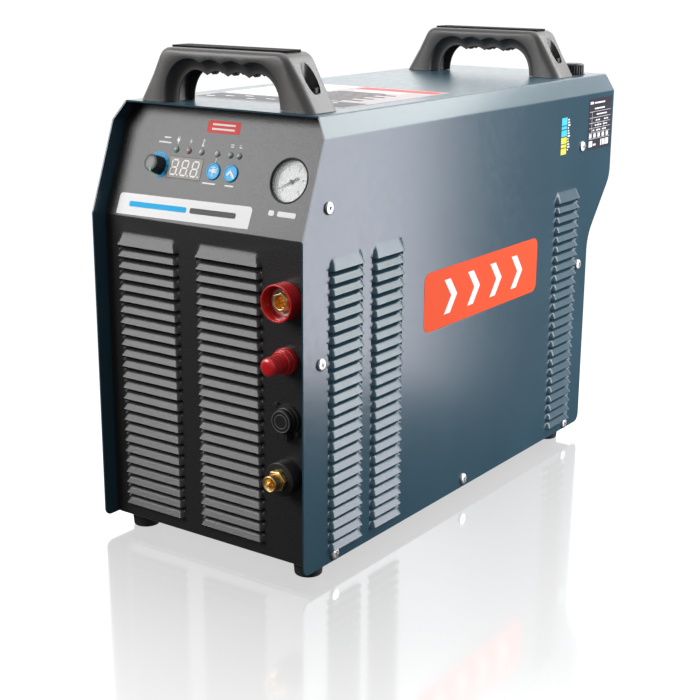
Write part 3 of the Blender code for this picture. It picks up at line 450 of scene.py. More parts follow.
def carved(bm, *cutters):
    """The solid with the cutters' shapes taken out."""
    helpers = []
    for shape in (bm, *cutters):
        bmesh.ops.recalc_face_normals(shape, faces=shape.faces)
        mesh = bpy.data.meshes.new("helper")
        shape.to_mesh(mesh)
        shape.free()
        helper = bpy.data.objects.new("helper", mesh)
        SCENE.collection.objects.link(helper)
        helpers.append(helper)
    for cutter in helpers[1:]:
        modifier = helpers[0].modifiers.new("cut", "BOOLEAN")
        modifier.operation = "DIFFERENCE"
        modifier.solver = "EXACT"
        modifier.object = cutter
    bpy.context.view_layer.update()
    evaluated = helpers[0].evaluated_get(bpy.context.evaluated_depsgraph_get())
    result = bmesh.new()
    result.from_mesh(evaluated.to_mesh())
    evaluated.to_mesh_clear()
    for helper in helpers:
        bpy.data.objects.remove(helper, do_unlink=True)
    return result


def decal(name, outlines, matrix, ink, slot, low=0.02, high=0.16, body="housing"):
    """Printed marks: flat shapes with a film's thickness on a face."""
    bm = bmesh.new()
    for outline in outlines:
        slab(outline, low, high, bm=bm)
    build(name, bm, matrix, slot, body, ink)


# ----------------------------------------------------------------- sheet metal

def slope(share):
    """A ramp from 0 that starts softly and reaches 1 at share = 1."""
    soft = 0.14
    return (math.hypot(share, soft) - soft) / (math.hypot(1, soft) - soft)


def louvre_height(along, share, end):
    """How far a louvre stands out, `along` mm from its nearer end."""
    inside = min(1.0, max(0.0, along - INSET * (1 - share)) / end)
    return RISE * slope(share) * math.sin(math.pi / 2 * inside)


def louvre_dip(along, share):
    """How far the metal sinks in just below the lip above."""
    return DIP * min(1.0, along / 1.8) * max(0.0, 1 - share / 0.42)


def louvre_field(bm, left, right, first, pitch, point, end=END):
    """Pressed louvres, open at the lower lip. Returns the loop around the field."""
    steps = (0.0, 0.4, 1.0, 1.8, 2.8, 4.0, 5.3, 6.7, 8.1, 9.5)
    shares = (0.0, 0.14, 0.28, 0.42, 0.56, 0.7, 0.85, 1.0)
    xs = [left + step for step in steps] + [(left + right) / 2]
    xs += [right - step for step in reversed(steps)]
    known = {}

    def vert(x, v, out):
        key = (round(x, 4), round(v, 4), out > 0.001)
        if key not in known:
            known[key] = bm.verts.new(point(x, v, out))
        return known[key]

    def strip(a, b):
        for i in range(len(xs) - 1):
            bm.faces.new((a[i], a[i + 1], b[i + 1], b[i]))

    alongs = [min(x - left, right - x) for x in xs]
    edges, above = ([], []), None
    for row in range(ROWS):
        lip = first - row * pitch
        start = lip + (LOUVRE if row else TOP_LOUVRE)
        lines = []
        for share in shares:
            v = start + (lip - start) * share
            lines.append([vert(x, v, louvre_height(along, share, end)
                               - (louvre_dip(along, share) if row else 0.0))
                          for x, along in zip(xs, alongs)])
        sunk = row < ROWS - 1
        flat = [vert(x, lip, -louvre_dip(along, 0) if sunk else 0.0)
                for x, along in zip(xs, alongs)]
        if above:
            strip(above, lines[0])
        else:
            top = lines[0]
        for a, b in zip(lines, lines[1:]):
            strip(a, b)
        for line in lines:
            edges[0].append(line[0])
            edges[1].append(line[-1])
        above = flat
    loop = list(dict.fromkeys(edges[0])) + above[1:-1]
    return loop + list(reversed(dict.fromkeys(edges[1]))) + list(reversed(top[1:-1]))


def front_edge(z):
    """Y of the cover's front edge at a height."""
    return max(0.0, (z - KNEE) * LEAN)


def cover_section():
    """The cover's front view from the right side's top bend to the left one's."""
    corners = [(SIDE, 0, 0), (SIDE, HEIGHT - CHAMFER_DOWN, 3.0), (SIDE - CHAMFER_IN, HEIGHT, 3.0)]
    corners += [(-x, z, radius) for x, z, radius in reversed(corners)]
    return rounded(corners, 4)[1:-1]


def make_cover():
    bm = bmesh.new()
    section = cover_section()
    top_z = section[0][1]
    outline = rounded([(0, 0, 7), (DEPTH_BOTTOM, 0, 9), (DEPTH_BOTTOM, HOOD_BOTTOM, 45),
                       (DEPTH_TOP, HOOD_TOP, 30), (DEPTH_TOP, top_z, 0),
                       (front_edge(top_z), top_z, 0), (0, KNEE, 8)], 10)
    for side in (1, -1):
        def point(y, z, out, side=side):
            return (side * (SIDE + out), y, z)
        loops = [[bm.verts.new(point(y, z, 0)) for y, z in outline]]
        for start, end in SIDE_COLUMNS:
            loops.append(louvre_field(bm, start, end, SIDE_FIRST, SIDE_PITCH, point))
        fill(bm, loops, (1, 0, 0))
    rows = [(bm.verts.new((x, front_edge(z), z)), bm.verts.new((x, DEPTH_TOP, z)))
            for x, z in section]
    top = len(section) // 2
    for i, (a, b) in enumerate(zip(rows, rows[1:])):
        if i + 1 == top:
            hole = [bm.verts.new((x, y, HEIGHT)) for x, y in circle(*REGULATOR, 13.5, 40)]
            fill(bm, [[a[0], b[0], b[1], a[1]], hole])
        else:
            bm.faces.new((a[0], b[0], b[1], a[1]))
    bmesh.ops.remove_doubles(bm, verts=bm.verts, dist=0.001)
    outward(bm, Vector((0, 300, 200)))
    thicken(build("cover_sheet", bm, CASE, "cover", normals=False,
                  smooth=28))


def outward(bm, centre):
    """Make an open shell's faces point away from a middle point."""
    bmesh.ops.recalc_face_normals(bm, faces=bm.faces)
    score = sum(f.calc_area() * f.normal.dot(f.calc_center_median() - centre) for f in bm.faces)
    if score < 0:
        bmesh.ops.reverse_faces(bm, faces=bm.faces)


def thicken(obj, thickness=SHEET):
    """Give an open shell its thickness, with crisp edges around its openings."""
    uses = {}
    for polygon in obj.data.polygons:
        for key in polygon.edge_keys:
            uses[key] = uses.get(key, 0) + 1
    for edge in obj.data.edges:
        if uses.get(edge.key, 0) < 2:
            edge.use_edge_sharp = True
    wall = obj.modifiers.new("sheet", "SOLIDIFY")
    wall.thickness = thickness * MM
    wall.offset = -1
    normals = obj.modifiers.new("normals", "WEIGHTED_NORMAL")
    normals.keep_sharp = True
    normals.weight = 100


def make_fascia():
    """The black front panel: louvred lower face, fold and sloping control face."""
    bm = bmesh.new()
    bottom, fold_in, top = 1.5, 0.6, (SHOULDER_Z - FOLD) * SLANT

    def low_point(x, z, out):
        return (x, RECESS - out, z)

    def up_point(x, s):
        return (x, RECESS + s * LEAN / SLANT, FOLD + s / SLANT)

    loops = [[bm.verts.new(low_point(x, z, 0)) for x, z in
              block(-PANEL_HALF, bottom, PANEL_HALF, FOLD - fold_in)]]
    for start, end in FRONT_COLUMNS:
        loops.append(louvre_field(bm, start, end, FRONT_FIRST, FRONT_PITCH, low_point,
                                  FRONT_END))
    for z, radius in ((SOCKET_Z, 13.8), (PILOT_Z, 6.0), (CONTROL_Z, 9.8), (TORCH_Z, 12.3)):
        hole = circle(CONNECTOR_X, z, radius, 40)
        loops.append([bm.verts.new(low_point(x, y, 0)) for x, y in hole])
    fill(bm, loops, (0, -1, 0))

    tip = (PANEL_TOP_Z - FOLD) * SLANT
    outlines = [[(-PANEL_HALF, fold_in), (PANEL_HALF, fold_in), (PANEL_HALF, top),
                 (PANEL_TOP_X, tip), (-PANEL_TOP_X, tip), (-PANEL_HALF, top)]]
    outlines += [circle(x, LED_ROW, 2.95, 24) for x in LED_X]
    outlines += [circle(x, ROW, 7.8, 40) for x in BUTTON_X.values()]
    outlines += [circle(KNOB_X, ROW, 3.6, 24), circle(GAUGE_X, ROW, 20.0, 64)]
    w, h = DISPLAY_W / 2 + 0.3, DISPLAY_H / 2 + 0.3
    outlines.append(block(DISPLAY_X - w, ROW - h, DISPLAY_X + w, ROW + h, 0.8))
    fill(bm, [[bm.verts.new(up_point(x, s)) for x, s in loop] for loop in outlines],
         (0, -1, LEAN))
    fold = [(RECESS, FOLD - fold_in), (RECESS + 0.06, FOLD), up_point(0, fold_in)[1:]]
    strips = [[bm.verts.new((x, y, z)) for x in (-PANEL_HALF, PANEL_HALF)] for y, z in fold]
    for a, b in zip(strips, strips[1:]):
        bm.faces.new((a[0], a[1], b[1], b[0]))
    edge = [(RECESS, bottom), *fold, (up_point(0, top)[1], SHOULDER_Z)]
    for x in (-PANEL_HALF, PANEL_HALF):
        pairs = [(bm.verts.new((x, y, z)), bm.verts.new((x, y + 22, z))) for y, z in edge]
        for a, b in zip(pairs, pairs[1:]):
            bm.faces.new((a[0], b[0], b[1], a[1]))
    bmesh.ops.remove_doubles(bm, verts=bm.verts, dist=0.001)
    outward(bm, Vector((0, 300, 150)))
    thicken(build("front_fascia", bm, CASE, "front_panel", normals=False, smooth=28))


# -------------------------------------------------------------------- handles

HANDLE_BODY, HANDLE_FOOT, HANDLE_SLOPE = 48.3, 97.8, 0.61
SCALLOP = 23.6                  # between the cusps under the bar
BAR_END = 1.5 * SCALLOP
LIP_Z, LOW_Z = 39.6, 29.6       # tops of the arches of the front edge and the grip
BOLT_X = 81.5


def resample(points, count):
    """Points at equal steps along a polyline."""
    lengths = [0.0]
    for a, b in zip(points, points[1:]):
        lengths.append(lengths[-1] + math.dist(a, b))
    result, k = [], 0
    for i in range(count + 1):
        target = lengths[-1] * i / count
        while k < len(points) - 2 and lengths[k + 1] < target:
            k += 1
        share = (target - lengths[k]) / (lengths[k + 1] - lengths[k])
        result.append(tuple(a + (b - a) * share for a, b in zip(points[k], points[k + 1])))
    return result


def outer_leg():
    top = HANDLE_FOOT - HANDLE_SLOPE * HANDLE_BODY
    corners = [(-BAR_END, HANDLE_BODY, 0), (-top, HANDLE_BODY, 14), (-HANDLE_FOOT, 0, 0)]
    return rounded(corners + [(-BAR_END, 0, 0)], 10)[:-1]


def arch_leg(foot, height, power):
    """The arch's side from the bar's end down to the foot, a superellipse."""
    points = []
    for i in range(25):
        angle = math.pi / 2 * (1 - i / 24)
        points.append((-BAR_END - (foot - BAR_END) * math.cos(angle) ** (2 / power),
                       height * math.sin(angle) ** (2 / power)))
    return points


def handle_stations():
    """Outer, lip, lower edge and channel points (x, z), from the left foot to the right."""
    def wave(x, height, depth):
        return height - depth + depth * abs(math.sin(math.pi * x / SCALLOP))

    steps = 22
    curves = [outer_leg(), arch_leg(66.8, LIP_Z, 2.15), arch_leg(57.5, LOW_Z, 2.05),
              arch_leg(63.5, 43.0, 2.4)]
    left = list(zip(*[resample(curve, steps) for curve in curves]))
    per = 10
    xs = [-BAR_END + SCALLOP / 2 * i / (per / 2) for i in range(1, int(per / 2) + 1)]
    xs += [-SCALLOP + SCALLOP * i / per for i in range(1, per + 1)]
    bar = [((x, HANDLE_BODY), (x, wave(x, LIP_Z, 3.3)), (x, wave(x, LOW_Z, 4.0)), (x, 43.0))
           for x in xs]
    half = list(reversed(left)) + bar
    mirrored = [tuple((-x, z) for x, z in station) for station in reversed(half[:-1])]
    return half + mirrored


def handle_mesh():
    depth, wall, inner = 20.5, 11.3, 9.6
    bm = bmesh.new()
    rings = []
    for outer, lip, low, channel in handle_stations():
        down = (Vector(lip) - Vector(outer)).normalized()
        share = 1 - min(1.0, outer[1] / HANDLE_BODY)
        radius = 5.2 + 3.6 * min(1.0, share * 2.0)
        half = []
        for i in range(7):
            angle = math.pi / 2 * i / 6
            spot = Vector(outer) + down * radius * (1 - math.cos(angle))
            half.append((spot, depth - radius + radius * math.sin(angle)))
        half.append((Vector(lip) - down * 0.35, depth))
        for i in range(8):
            angle = math.pi / 2 * i / 7
            spot = Vector(lip).lerp(Vector(low), 1 - math.cos(angle))
            half.append((spot, depth - 0.2 - (depth - wall) * math.sin(angle)))
        half.append((Vector(low) + down * 0.6, (wall + inner) / 2))
        half.append((Vector(low), inner))
        half.append((Vector(channel), inner))
        ring = [(spot, -y) for spot, y in half] + [(spot, y) for spot, y in reversed(half)]
        rings.append([bm.verts.new((spot.x, y, spot.y)) for spot, y in ring])
    for a, b in zip(rings, rings[1:]):
        for i in range(len(a)):
            j = (i + 1) % len(a)
            bm.faces.new((a[i], b[i], b[j], a[j]))
    for ring in (rings[0], rings[-1]):
        bm.faces.new(ring)
    return bm


def make_handle(end, y):
    seat = moved(TOP, 0, y, 0.3)
    cutters = [slab(circle(x, 0, 8.4, 40), 14.8, 60) for x in (-BOLT_X, BOLT_X)]
    cutters += [slab(circle(x, 0, 4.3, 24), -5, 20) for x in (-BOLT_X, BOLT_X)]
    bm = carved(handle_mesh(), *cutters)
    name = end + "_handle"
    build(name + "_moulding", bm, seat, name, bevel=0.4, smooth=32, limit=40)
    # The raised pad is coloured near black, darker than the moulding: painted shade for the dark
    # line at its front step.
    pad = slab(block(-64, -12, 64, 12, 3), 48.2, 49.8)
    build(name + "_pad", pad, seat, "handle_plastic", look="pad_painted_shade", bevel=0.3)
    web = [(-40, 44), (-40, 32)]
    for x in (-SCALLOP, 0, SCALLOP):
        web += [(x + px, 28.6 + pz) for px, pz in arc(0, 0, 3.5, 180, 360, 10)]
    web += [(40, 32), (40, 44)]
    upright = seat @ Matrix.Rotation(math.pi / 2, 4, "X")
    build(name + "_web", slab(web, -2.2, 2.2), upright, "handle_plastic",
          look="black_plastic", bevel=0.6)
    for side, x in (("left", -BOLT_X), ("right", BOLT_X)):
        head = lathe([(0, 16.6), (2.9, 16.6), (2.9, 19.8), (6.5, 19.8), (6.5, 15.4), (4, 15.4),
                      (4, 0), (0, 0)], 40)
        lathe([(4.2, 14.9), (8.1, 14.9), (8.1, 15.3), (4.2, 15.3)], 40, head, closed=True)
        node = f"{name}_bolt_{side}"
        build(node + "_head", head, moved(seat, x, 0), node,
              look="black_steel", bevel=0.35)


# -------------------------------------------------------------- control panel

def ring_sector(inner, outer, start, end, steps=8):
    return arc(0, 0, outer, start, end, steps) + arc(0, 0, inner, end, start, steps)


def bar(x0, y0, x1, y1, width):
    """A straight stroke between two points."""
    a, b = Vector((x0, y0)), Vector((x1, y1))
    across = (b - a).orthogonal().normalized() * width / 2
    return [tuple(a + across), tuple(a - across), tuple(b - across), tuple(b + across)]


def shifted(outline, x, y, turn=0.0):
    c, s = math.cos(math.radians(turn)), math.sin(math.radians(turn))
    return [(x + px * c - py * s, y + px * s + py * c) for px, py in outline]


def ribbed(radius, valley, ribs, taper, low, high, bm=None):
    """A grip with rounded ribs; its radius shrinks by `taper` towards the top."""
    bm = bm or bmesh.new()
    per = 6
    rings = []
    for z, shrink in ((low, 0.0), (high, taper)):
        ring = []
        for i in range(ribs * per):
            wave = 0.5 + 0.5 * math.cos(math.tau * i / per)
            r = radius - shrink - valley * (1 - wave) ** 2
            angle = math.tau * i / (ribs * per)
            ring.append(bm.verts.new((r * math.cos(angle), r * math.sin(angle), z)))
        rings.append(ring)
    for i in range(len(rings[0])):
        j = (i + 1) % len(rings[0])
        bm.faces.new((rings[0][i], rings[0][j], rings[1][j], rings[1][i]))
    bm.faces.new(rings[0])
    bm.faces.new(rings[1])
    return bm


def make_knob():
    spot = moved(UPPER, KNOB_X, ROW)
    build("current_knob_skirt", ribbed(8.3, 0.7, 20, 0.7, 0.6, 8.6), spot, "current_knob",
          "current_control", bevel=0.25, smooth=50, limit=50)
    cap = lathe([(0, 9.9), (4.6, 10.05), (6.6, 10.5), (7.35, 10.7), (7.6, 10.3), (7.6, 8.7),
                 (0, 8.7)])
    build("current_knob_disc", cap, spot, "current_knob_cap", "current_control", "gloss_black",
          bevel=0.2)
    mark = slab(block(5.0, -0.7, 7.9, 0.7, 0.3), 8.8, 10.85)
    slab(block(7.2, -0.7, 8.5, 0.7, 0.3), 1.2, 8.9, bm=mark)
    build("current_knob_pointer", mark, moved(spot, 0, 0, 0, -78), "black_plastic",
          "current_control", "pointer", bevel=0.1)
    scale = [ring_sector(9.2, 12.2, start - 23, start) for start in range(160, -57, -27)]
    decal("current_scale", scale, spot, "blue", "powder_coat")


def seven_segments(x, height):
    """A figure eight with its point, leaning a little."""
    w, half, t, gap = height * 0.5, height / 2, height * 0.115, 0.28
    shapes = []

    def stroke(x0, y0, x1, y1):
        a, b = Vector((x0, y0)), Vector((x1, y1))
        along = (b - a).normalized()
        across, tip = along.orthogonal() * t / 2, along * t / 2
        a, b = a + along * gap, b - along * gap
        points = [a, a + tip + across, b - tip + across, b, b - tip - across, a + tip - across]
        shapes.append([(x + p.x + p.y * 0.12, p.y) for p in points])

    for level in (-half, 0, half):
        stroke(-w / 2, level, w / 2, level)
    for side in (-w / 2, w / 2):
        stroke(side, 0, side, half)
        stroke(side, -half, side, 0)
    return shapes + [circle(x + w / 2 + 1.55, -half, 0.85, 16)]


def make_panel_controls():
    dome = [(0, 2.4), (1.0, 2.2), (1.9, 1.6), (2.5, 0.8), (2.8, -0.2), (2.8, -3.0), (0, -3.0)]
    colours = ("green", "red", "clear", "clear", "green", "green")
    for i, (x, colour) in enumerate(zip(LED_X, colours), 1):
        build(f"status_lamp_{i}", lathe(dome, 32), moved(UPPER, x, LED_ROW), "circuit_board",
              look=colour + "_lens", smooth=60)
    w, h = DISPLAY_W / 2, DISPLAY_H / 2
    window = moved(UPPER, DISPLAY_X, ROW)
    build("display_body", slab(block(-w, -h, w, h, 0.5), -13.9, 0.25), window, "display_module",
          look="window", bevel=0.25)
    digits = [shape for x in (-12.4, -0.4, 11.6) for shape in seven_segments(x, 13.4)]
    decal("display_digits", digits, window, "segment", "grey_plastic", 0.2, 0.36)
    key = [(0, 0.9), (5.9, 0.95), (6.3, 1.25), (7.0, 1.25), (7.45, 0.9), (7.5, 0.4), (7.5, -2.6),
           (9.0, -2.6), (9.0, -4.2), (3.0, -4.2), (3.0, -13.0), (0, -13.0)]
    for name, x in BUTTON_X.items():
        build(name + "_key", lathe(key, 56), moved(UPPER, x, ROW), name, name, bevel=0.15)
    torch = [bar(-4.2, 0.6, -1.4, 0.4, 1.1), circle(0.2, 0.5, 2.1, 24)]
    torch += [bar(1.8, 0.6 + s * 0.7, 4.6, 0.6 + s * 2.2, 0.8) for s in (-1, 0, 1)]
    torch += [bar(0.0, -2.0, 0.0, -4.4, 0.8), bar(-2.4, 3.6, 2.4, 3.6, 0.6)]
    arrow = [(-4.6, -1.2), (-0.6, 3.0), (4.6, -2.6), (4.6, -4.2), (2.9, -4.2), (-0.6, 0.2),
             (-3.2, -2.6)]
    for name, mark in (("gas_test", torch), ("mode", [arrow])):
        button = name + "_button"
        decal(name + "_mark", mark, moved(UPPER, BUTTON_X[button], ROW), "white", "blue_button",
              0.93, 1.08, button)


def make_panel_print():
    row = LED_ROW + 8.6
    plug = [block(-1.7, -1.4, 1.7, 1.6, 0.8), bar(-0.8, 1.5, -0.8, 3.3, 0.6),
            bar(0.8, 1.5, 0.8, 3.3, 0.6), bar(0, -1.3, 0, -3.4, 0.7)]
    flash = [[(0.9, 3.6), (-1.3, -0.4), (0.0, -0.4), (-0.7, -3.6), (1.5, 0.6), (0.2, 0.6)]]
    heat = [circle(0, -2.3, 1.25, 20), block(-0.55, -2.0, 0.55, 3.2, 0.4),
            bar(1.1, 2.2, 2.1, 2.2, 0.4), bar(1.1, 0.8, 2.1, 0.8, 0.4)]
    marks = [shifted(shape, x, row) for x, icon in zip(LED_X, (plug, flash, heat))
             for shape in icon]
    marks.append(bar(LED_X[3], LED_ROW - 3.6, BUTTON_X["gas_test_button"], ROW + 8.0, 0.45))
    for x in LED_X[4:]:
        marks.append(bar(x - 1.8, row - 1.2, x + 1.8, row - 1.2, 0.7))
        marks.append(bar(x - 1.8, row + 0.6, x + (1.8 if x < 20 else 0.2), row + 0.6, 0.7))
    for x, y, length in ((-63, 75.2, 8), (-65, 70.6, 15), (-5, 38.2, 15), (18, 38.2, 10)):
        marks.append(block(x - length / 2, y, x + length / 2, y + 1.3, 0.6))
    decal("panel_marks", marks, UPPER, "white", "powder_coat")
    decal("panel_badge", [block(-20.0, 84.0, 17.0, 95.0, 2.0, 6)], UPPER, "red", "powder_coat")
    stripes = [block(-14.5, y, 11.5, y + 1.7, 0.6) for y in (86.6, 90.7)]
    decal("panel_badge_stripes", stripes, UPPER, "white", "powder_coat", *SECOND_FILM)
    strip = moved(UPPER, -105.5, 1.6, 0, 0.9)
    outline = rounded([(0, 0, 1.0), (153.5, 0, 1.0), (155.0, 19.6, 3.5), (1.0, 19.6, 3.5)], 5)
    decal("type_strip", [outline], strip, "white", "powder_coat")
    for name, x0, x1, ink in (("line", 14, 82, "blue"), ("end", 86, 138, "grey")):
        decal("type_strip_" + name, [block(x0, 7.6, x1, 12.6, 1.6)], strip, ink, "powder_coat",
              *SECOND_FILM)
    unit = blocks(1.4, (-14, 18.4, -8, 23.0), (-4.5, 18.4, 15, 23.0))
    decal("gauge_unit_mark", [shifted(shape, GAUGE_X, 0) for shape in unit], UPPER, "white",
          "powder_coat")


def make_gauge():
    spot = moved(UPPER, GAUGE_X, ROW)
    case = [(0, -9.0), (1.1, -9.0), (1.1, -6.0), (18.35, -6.0), (18.35, -0.3), (18.7, 0.35),
            (19.35, 0.6), (19.7, 0.2), (19.7, -2.2), (23.5, -2.2), (23.5, -4.2), (19.7, -4.2),
            (19.7, -25), (6.5, -25), (6.5, -38), (0, -38)]
    build("gauge_bezel", lathe(case, 96), spot, "gauge_case", bevel=0.15)
    disc = lathe([(1.2, -4.8), (18.25, -4.8), (18.25, -5.6), (1.2, -5.6)], 96, closed=True)
    build("gauge_face", disc, spot, "gauge_dial")
    ticks = []
    for i in range(51):
        angle = math.radians(225 - 270 * i / 50)
        inner = 15.6 - (2.3 if i % 10 == 0 else 1.5 if i % 5 == 0 else 0.9)
        c, s = math.cos(angle), math.sin(angle)
        ticks.append(bar(c * 15.6, s * 15.6, c * inner, s * inner, 0.42 if i % 10 == 0 else 0.2))
    decal("gauge_ticks", ticks, spot, "grey", "dial_white", *DIAL_FILM)
    band = [ring_sector(16.2, 17.0, start, start - 25.5) for start in (63, 36, 9, -18)]
    decal("gauge_band", band, spot, "pink", "dial_white", *DIAL_FILM)
    for i in range(0, 11, 2):
        angle = math.radians(225 - 27 * i)
        place = moved(spot, 11.4 * math.cos(angle), 11.4 * math.sin(angle), -4.76)
        number(f"gauge_number_{i}", str(i), place, 3.0)
    blade = [(-14.3, -0.15), (-2, -0.42), (3.4, -0.45), (3.9, -0.95), (7.6, -0.8), (7.6, 0.8),
             (3.9, 0.95), (3.4, 0.45), (-2, 0.42), (-14.3, 0.15)]
    pointer = slab(shifted(blade, 0, 0, 30), -3.9, -3.5)
    lathe([(0, -2.9), (1.2, -2.95), (1.9, -3.3), (1.9, -4.2), (0.8, -4.25), (0.8, -8.6),
           (0, -8.6)], 32, pointer)
    build("gauge_pointer", pointer, spot, "gauge_needle", "gauge_needle", bevel=0.05)
    glass = lathe([(0, -0.75), (9, -0.8), (18.2, -1.2), (18.2, -2.0), (0, -2.0)], 64)
    build("gauge_window", glass, spot, "gauge_lens", smooth=60)


def number(name, text, matrix, size):
    """A raised figure on the dial."""
    curve = bpy.data.curves.new(name, "FONT")
    curve.body = text
    curve.size = size
    curve.align_x = curve.align_y = "CENTER"
    curve.extrude = 0.04
    curve.resolution_u = 3
    helper = bpy.data.objects.new(name + "_helper", curve)
    SCENE.collection.objects.link(helper)
    bpy.context.view_layer.update()
    evaluated = helper.evaluated_get(bpy.context.evaluated_depsgraph_get())
    bm = bmesh.new()
    bm.from_mesh(evaluated.to_mesh())
    evaluated.to_mesh_clear()
    bpy.data.objects.remove(helper, do_unlink=True)
    bmesh.ops.remove_doubles(bm, verts=bm.verts, dist=0.0005)
    build(name, bm, matrix, "dial_white", look="grey")


# ----------------------------------------------------------------- connectors

def make_work_socket():
    spot = moved(LOWER, CONNECTOR_X, SOCKET_Z)
    shell = [(9.2, 4.9), (14.3, 4.9), (14.75, 14.9), (15.0, 15.4), (16.2, 15.4), (16.6, 14.9),
             (16.6, 0.3), (13.5, 0.3), (13.5, -12), (9.2, -12)]
    build("work_socket_cup", lathe(shell, 96, closed=True), spot, "work_socket_shell", bevel=0.25)
    brass = [(0, -8), (5.2, -8), (5.2, 4.8), (9.0, 4.8), (9.0, -20), (5, -20), (5, -34), (0, -34)]
    build("work_socket_insert", lathe(brass, 64), spot, "work_socket_contact", bevel=0.2)
    nut = slab(arc(0, 0, 9.0, 22, 322, 5), 4.9, 10.0, [circle(0, 0, 5.6, 40)])
    build("work_socket_hex", nut, spot, "brass", bevel=0.7, segments=3)
    washer = lathe([(9.4, 4.9), (12.0, 4.9), (12.2, 5.3), (12.0, 5.7), (9.4, 5.7)], 64,
                   closed=True)
    build("work_socket_washer", washer, spot, "brass", look="bolt_steel", bevel=0.15)


def make_pilot_post():
    spot = moved(LOWER, CONNECTOR_X, PILOT_Z)
    post = [(2.7, 10.3), (9.6, 10.3), (10.4, 9.6), (10.4, 8.6), (9.7, 8.2), (9.7, 7.4),
            (10.4, 7.0), (10.4, 5.4), (12.0, 5.0), (12.0, 0.3), (5.7, 0.3), (5.7, -12),
            (2.7, -12)]
    build("pilot_post_collar", lathe(post, 72, closed=True), spot, "pilot_post", bevel=0.15)
    cap = ribbed(8.3, 0.35, 32, 0.25, 10.7, 26.6)
    lathe([(0, 28.6), (4.0, 28.5), (6.2, 28.0), (7.4, 27.2), (7.9, 26.5), (0, 26.5)], 64, cap)
    build("pilot_cap_knurl", cap, spot, "pilot_cap", "pilot_cap", smooth=50)


def make_control_socket():
    spot = moved(LOWER, CONNECTOR_X, CONTROL_Z)
    lid = [(0, 9.7), (5.6, 9.7), (5.75, 9.95), (6.6, 9.95), (6.75, 9.7), (8.8, 9.7), (8.95, 9.95),
           (9.8, 9.95), (10.35, 9.4), (10.4, 5.4), (0, 5.4)]
    cap = lathe(lid, 72)
    slab(block(-3, -17.0, 3, -9.0, 1.0), 5.4, 8.6, bm=cap)
    build("control_socket_lid", cap, spot, "control_socket_cap", "control_socket_cap", bevel=0.15)
    # Two lighter grey rings laid on the lid's beads: painted highlights along the bead edges.
    for i, radius in enumerate((6.2, 9.4)):
        ring = lathe([(radius - 0.4, 9.8), (radius + 0.4, 9.8), (radius + 0.3, 10.15),
                      (radius - 0.3, 10.15)], 64, closed=True)
        build(f"control_socket_lid_highlight_ring_{i + 1}", ring, spot, "black_plastic",
              "control_socket_cap", look="ring_painted_highlight")
    body = lathe([(0, -4), (7.5, -4), (7.5, 5.0), (10.6, 5.0), (11.2, 4.6), (11.2, 2.6),
                  (13.8, 2.3), (13.8, 0.3), (9.5, 0.3), (9.5, -14), (0, -14)], 72)
    for x in (-4.4, 4.4):
        slab(block(x - 1, -17.6, x + 1, -10.6, 0.8), 0.4, 8.4, bm=body)
    lathe([(0, 3.4), (2.3, 3.0), (2.7, 2.2), (2.7, 0.2), (0, 0.2)], 32, body, at=(11.2, -11.2))
    lathe([(0, 3.0), (2.3, 2.7), (2.7, 2.0), (2.7, 0.2), (0, 0.2)], 32, body, at=(-11.2, 11.2))
    build("control_socket_body", body, spot, "control_socket", bevel=0.15)


def make_torch_fitting():
    spot = moved(LOWER, CONNECTOR_X, TORCH_Z)
    ring = [(9.1, 13.1), (14.7, 13.1), (15.3, 12.8), (15.5, 12.2), (15.5, 0.3), (12, 0.3),
            (12, -10), (9.1, -10)]
    build("torch_insulator_ring", lathe(ring, 96, closed=True), spot, "torch_insulator",
          look="gloss_black", bevel=0.2)
    tube = [(0, -12), (2.2, -12), (2.2, 18.5), (5.6, 26.3), (6.2, 26.9), (6.8, 26.9), (7.3, 26.4),
            (7.3, 14), (8.7, 14), (8.7, -15), (5, -15), (5, -48.5), (0, -48.5)]
    build("torch_fitting_brass", lathe(tube, 72), spot, "torch_fitting", bevel=0.25)
    nut = slab(arc(0, 0, 9.9, 8, 308, 5), 13.4, 17.6, [circle(0, 0, 7.35, 48)])
    build("torch_fitting_hex", nut, spot, "brass", bevel=0.6, segments=3)


# --------------------------------------------------------- screws, feet, print

def screw(name, matrix, radius, height, bevel=0.1):
    """A pan head with a cross recess."""
    shape = ((0, 1), (0.72, 0.97), (0.86, 0.88), (0.96, 0.68), (1, 0.4), (1, 0), (0, 0))
    head = lathe([(radius * r, height * z) for r, z in shape], 40)
    arm, width = radius * 0.46, radius * 0.14
    cross = [slab(block(-x, -y, x, y, 0.2), height * 0.35, height * 2)
             for x, y in ((arm, width), (width, arm))]
    build(name, carved(head, *cross), matrix, "bolt_steel", bevel=bevel, smooth=50)


def make_screws():
    for side, frame_side, sign in SIDES:
        for i, (y, z) in enumerate(SIDE_SCREWS, 1):
            spot = moved(frame_side, sign * y, z, 0.02, random.uniform(0, 90))
            screw(f"side_screw_{side}_{i}", spot, 5.6, 2.2, 0.12)
    for i in range(6):
        x, z = 108 * (-1, 1)[i % 2], (12, 200, 365)[i // 2]
        screw(f"rear_screw_{i + 1}", moved(REAR, x, z, 0.02, 30 * i), 3.6, 2.0)


def make_feet():
    shape = [(0, -0.3), (13.4, -0.3), (13.6, -0.6), (12.6, -12.6), (11.9, -13.5), (5.4, -13.5),
             (5.0, -13.1), (5.0, -7.0), (0, -7.0)]
    for end, y in (("front", 35), ("rear", 494)):
        for side, x in (("left", -98.5), ("right", 98.5)):
            node = f"foot_{end}_{side}"
            build(node + "_pad", lathe(shape, 64), moved(CASE, x, y), node, bevel=0.2)


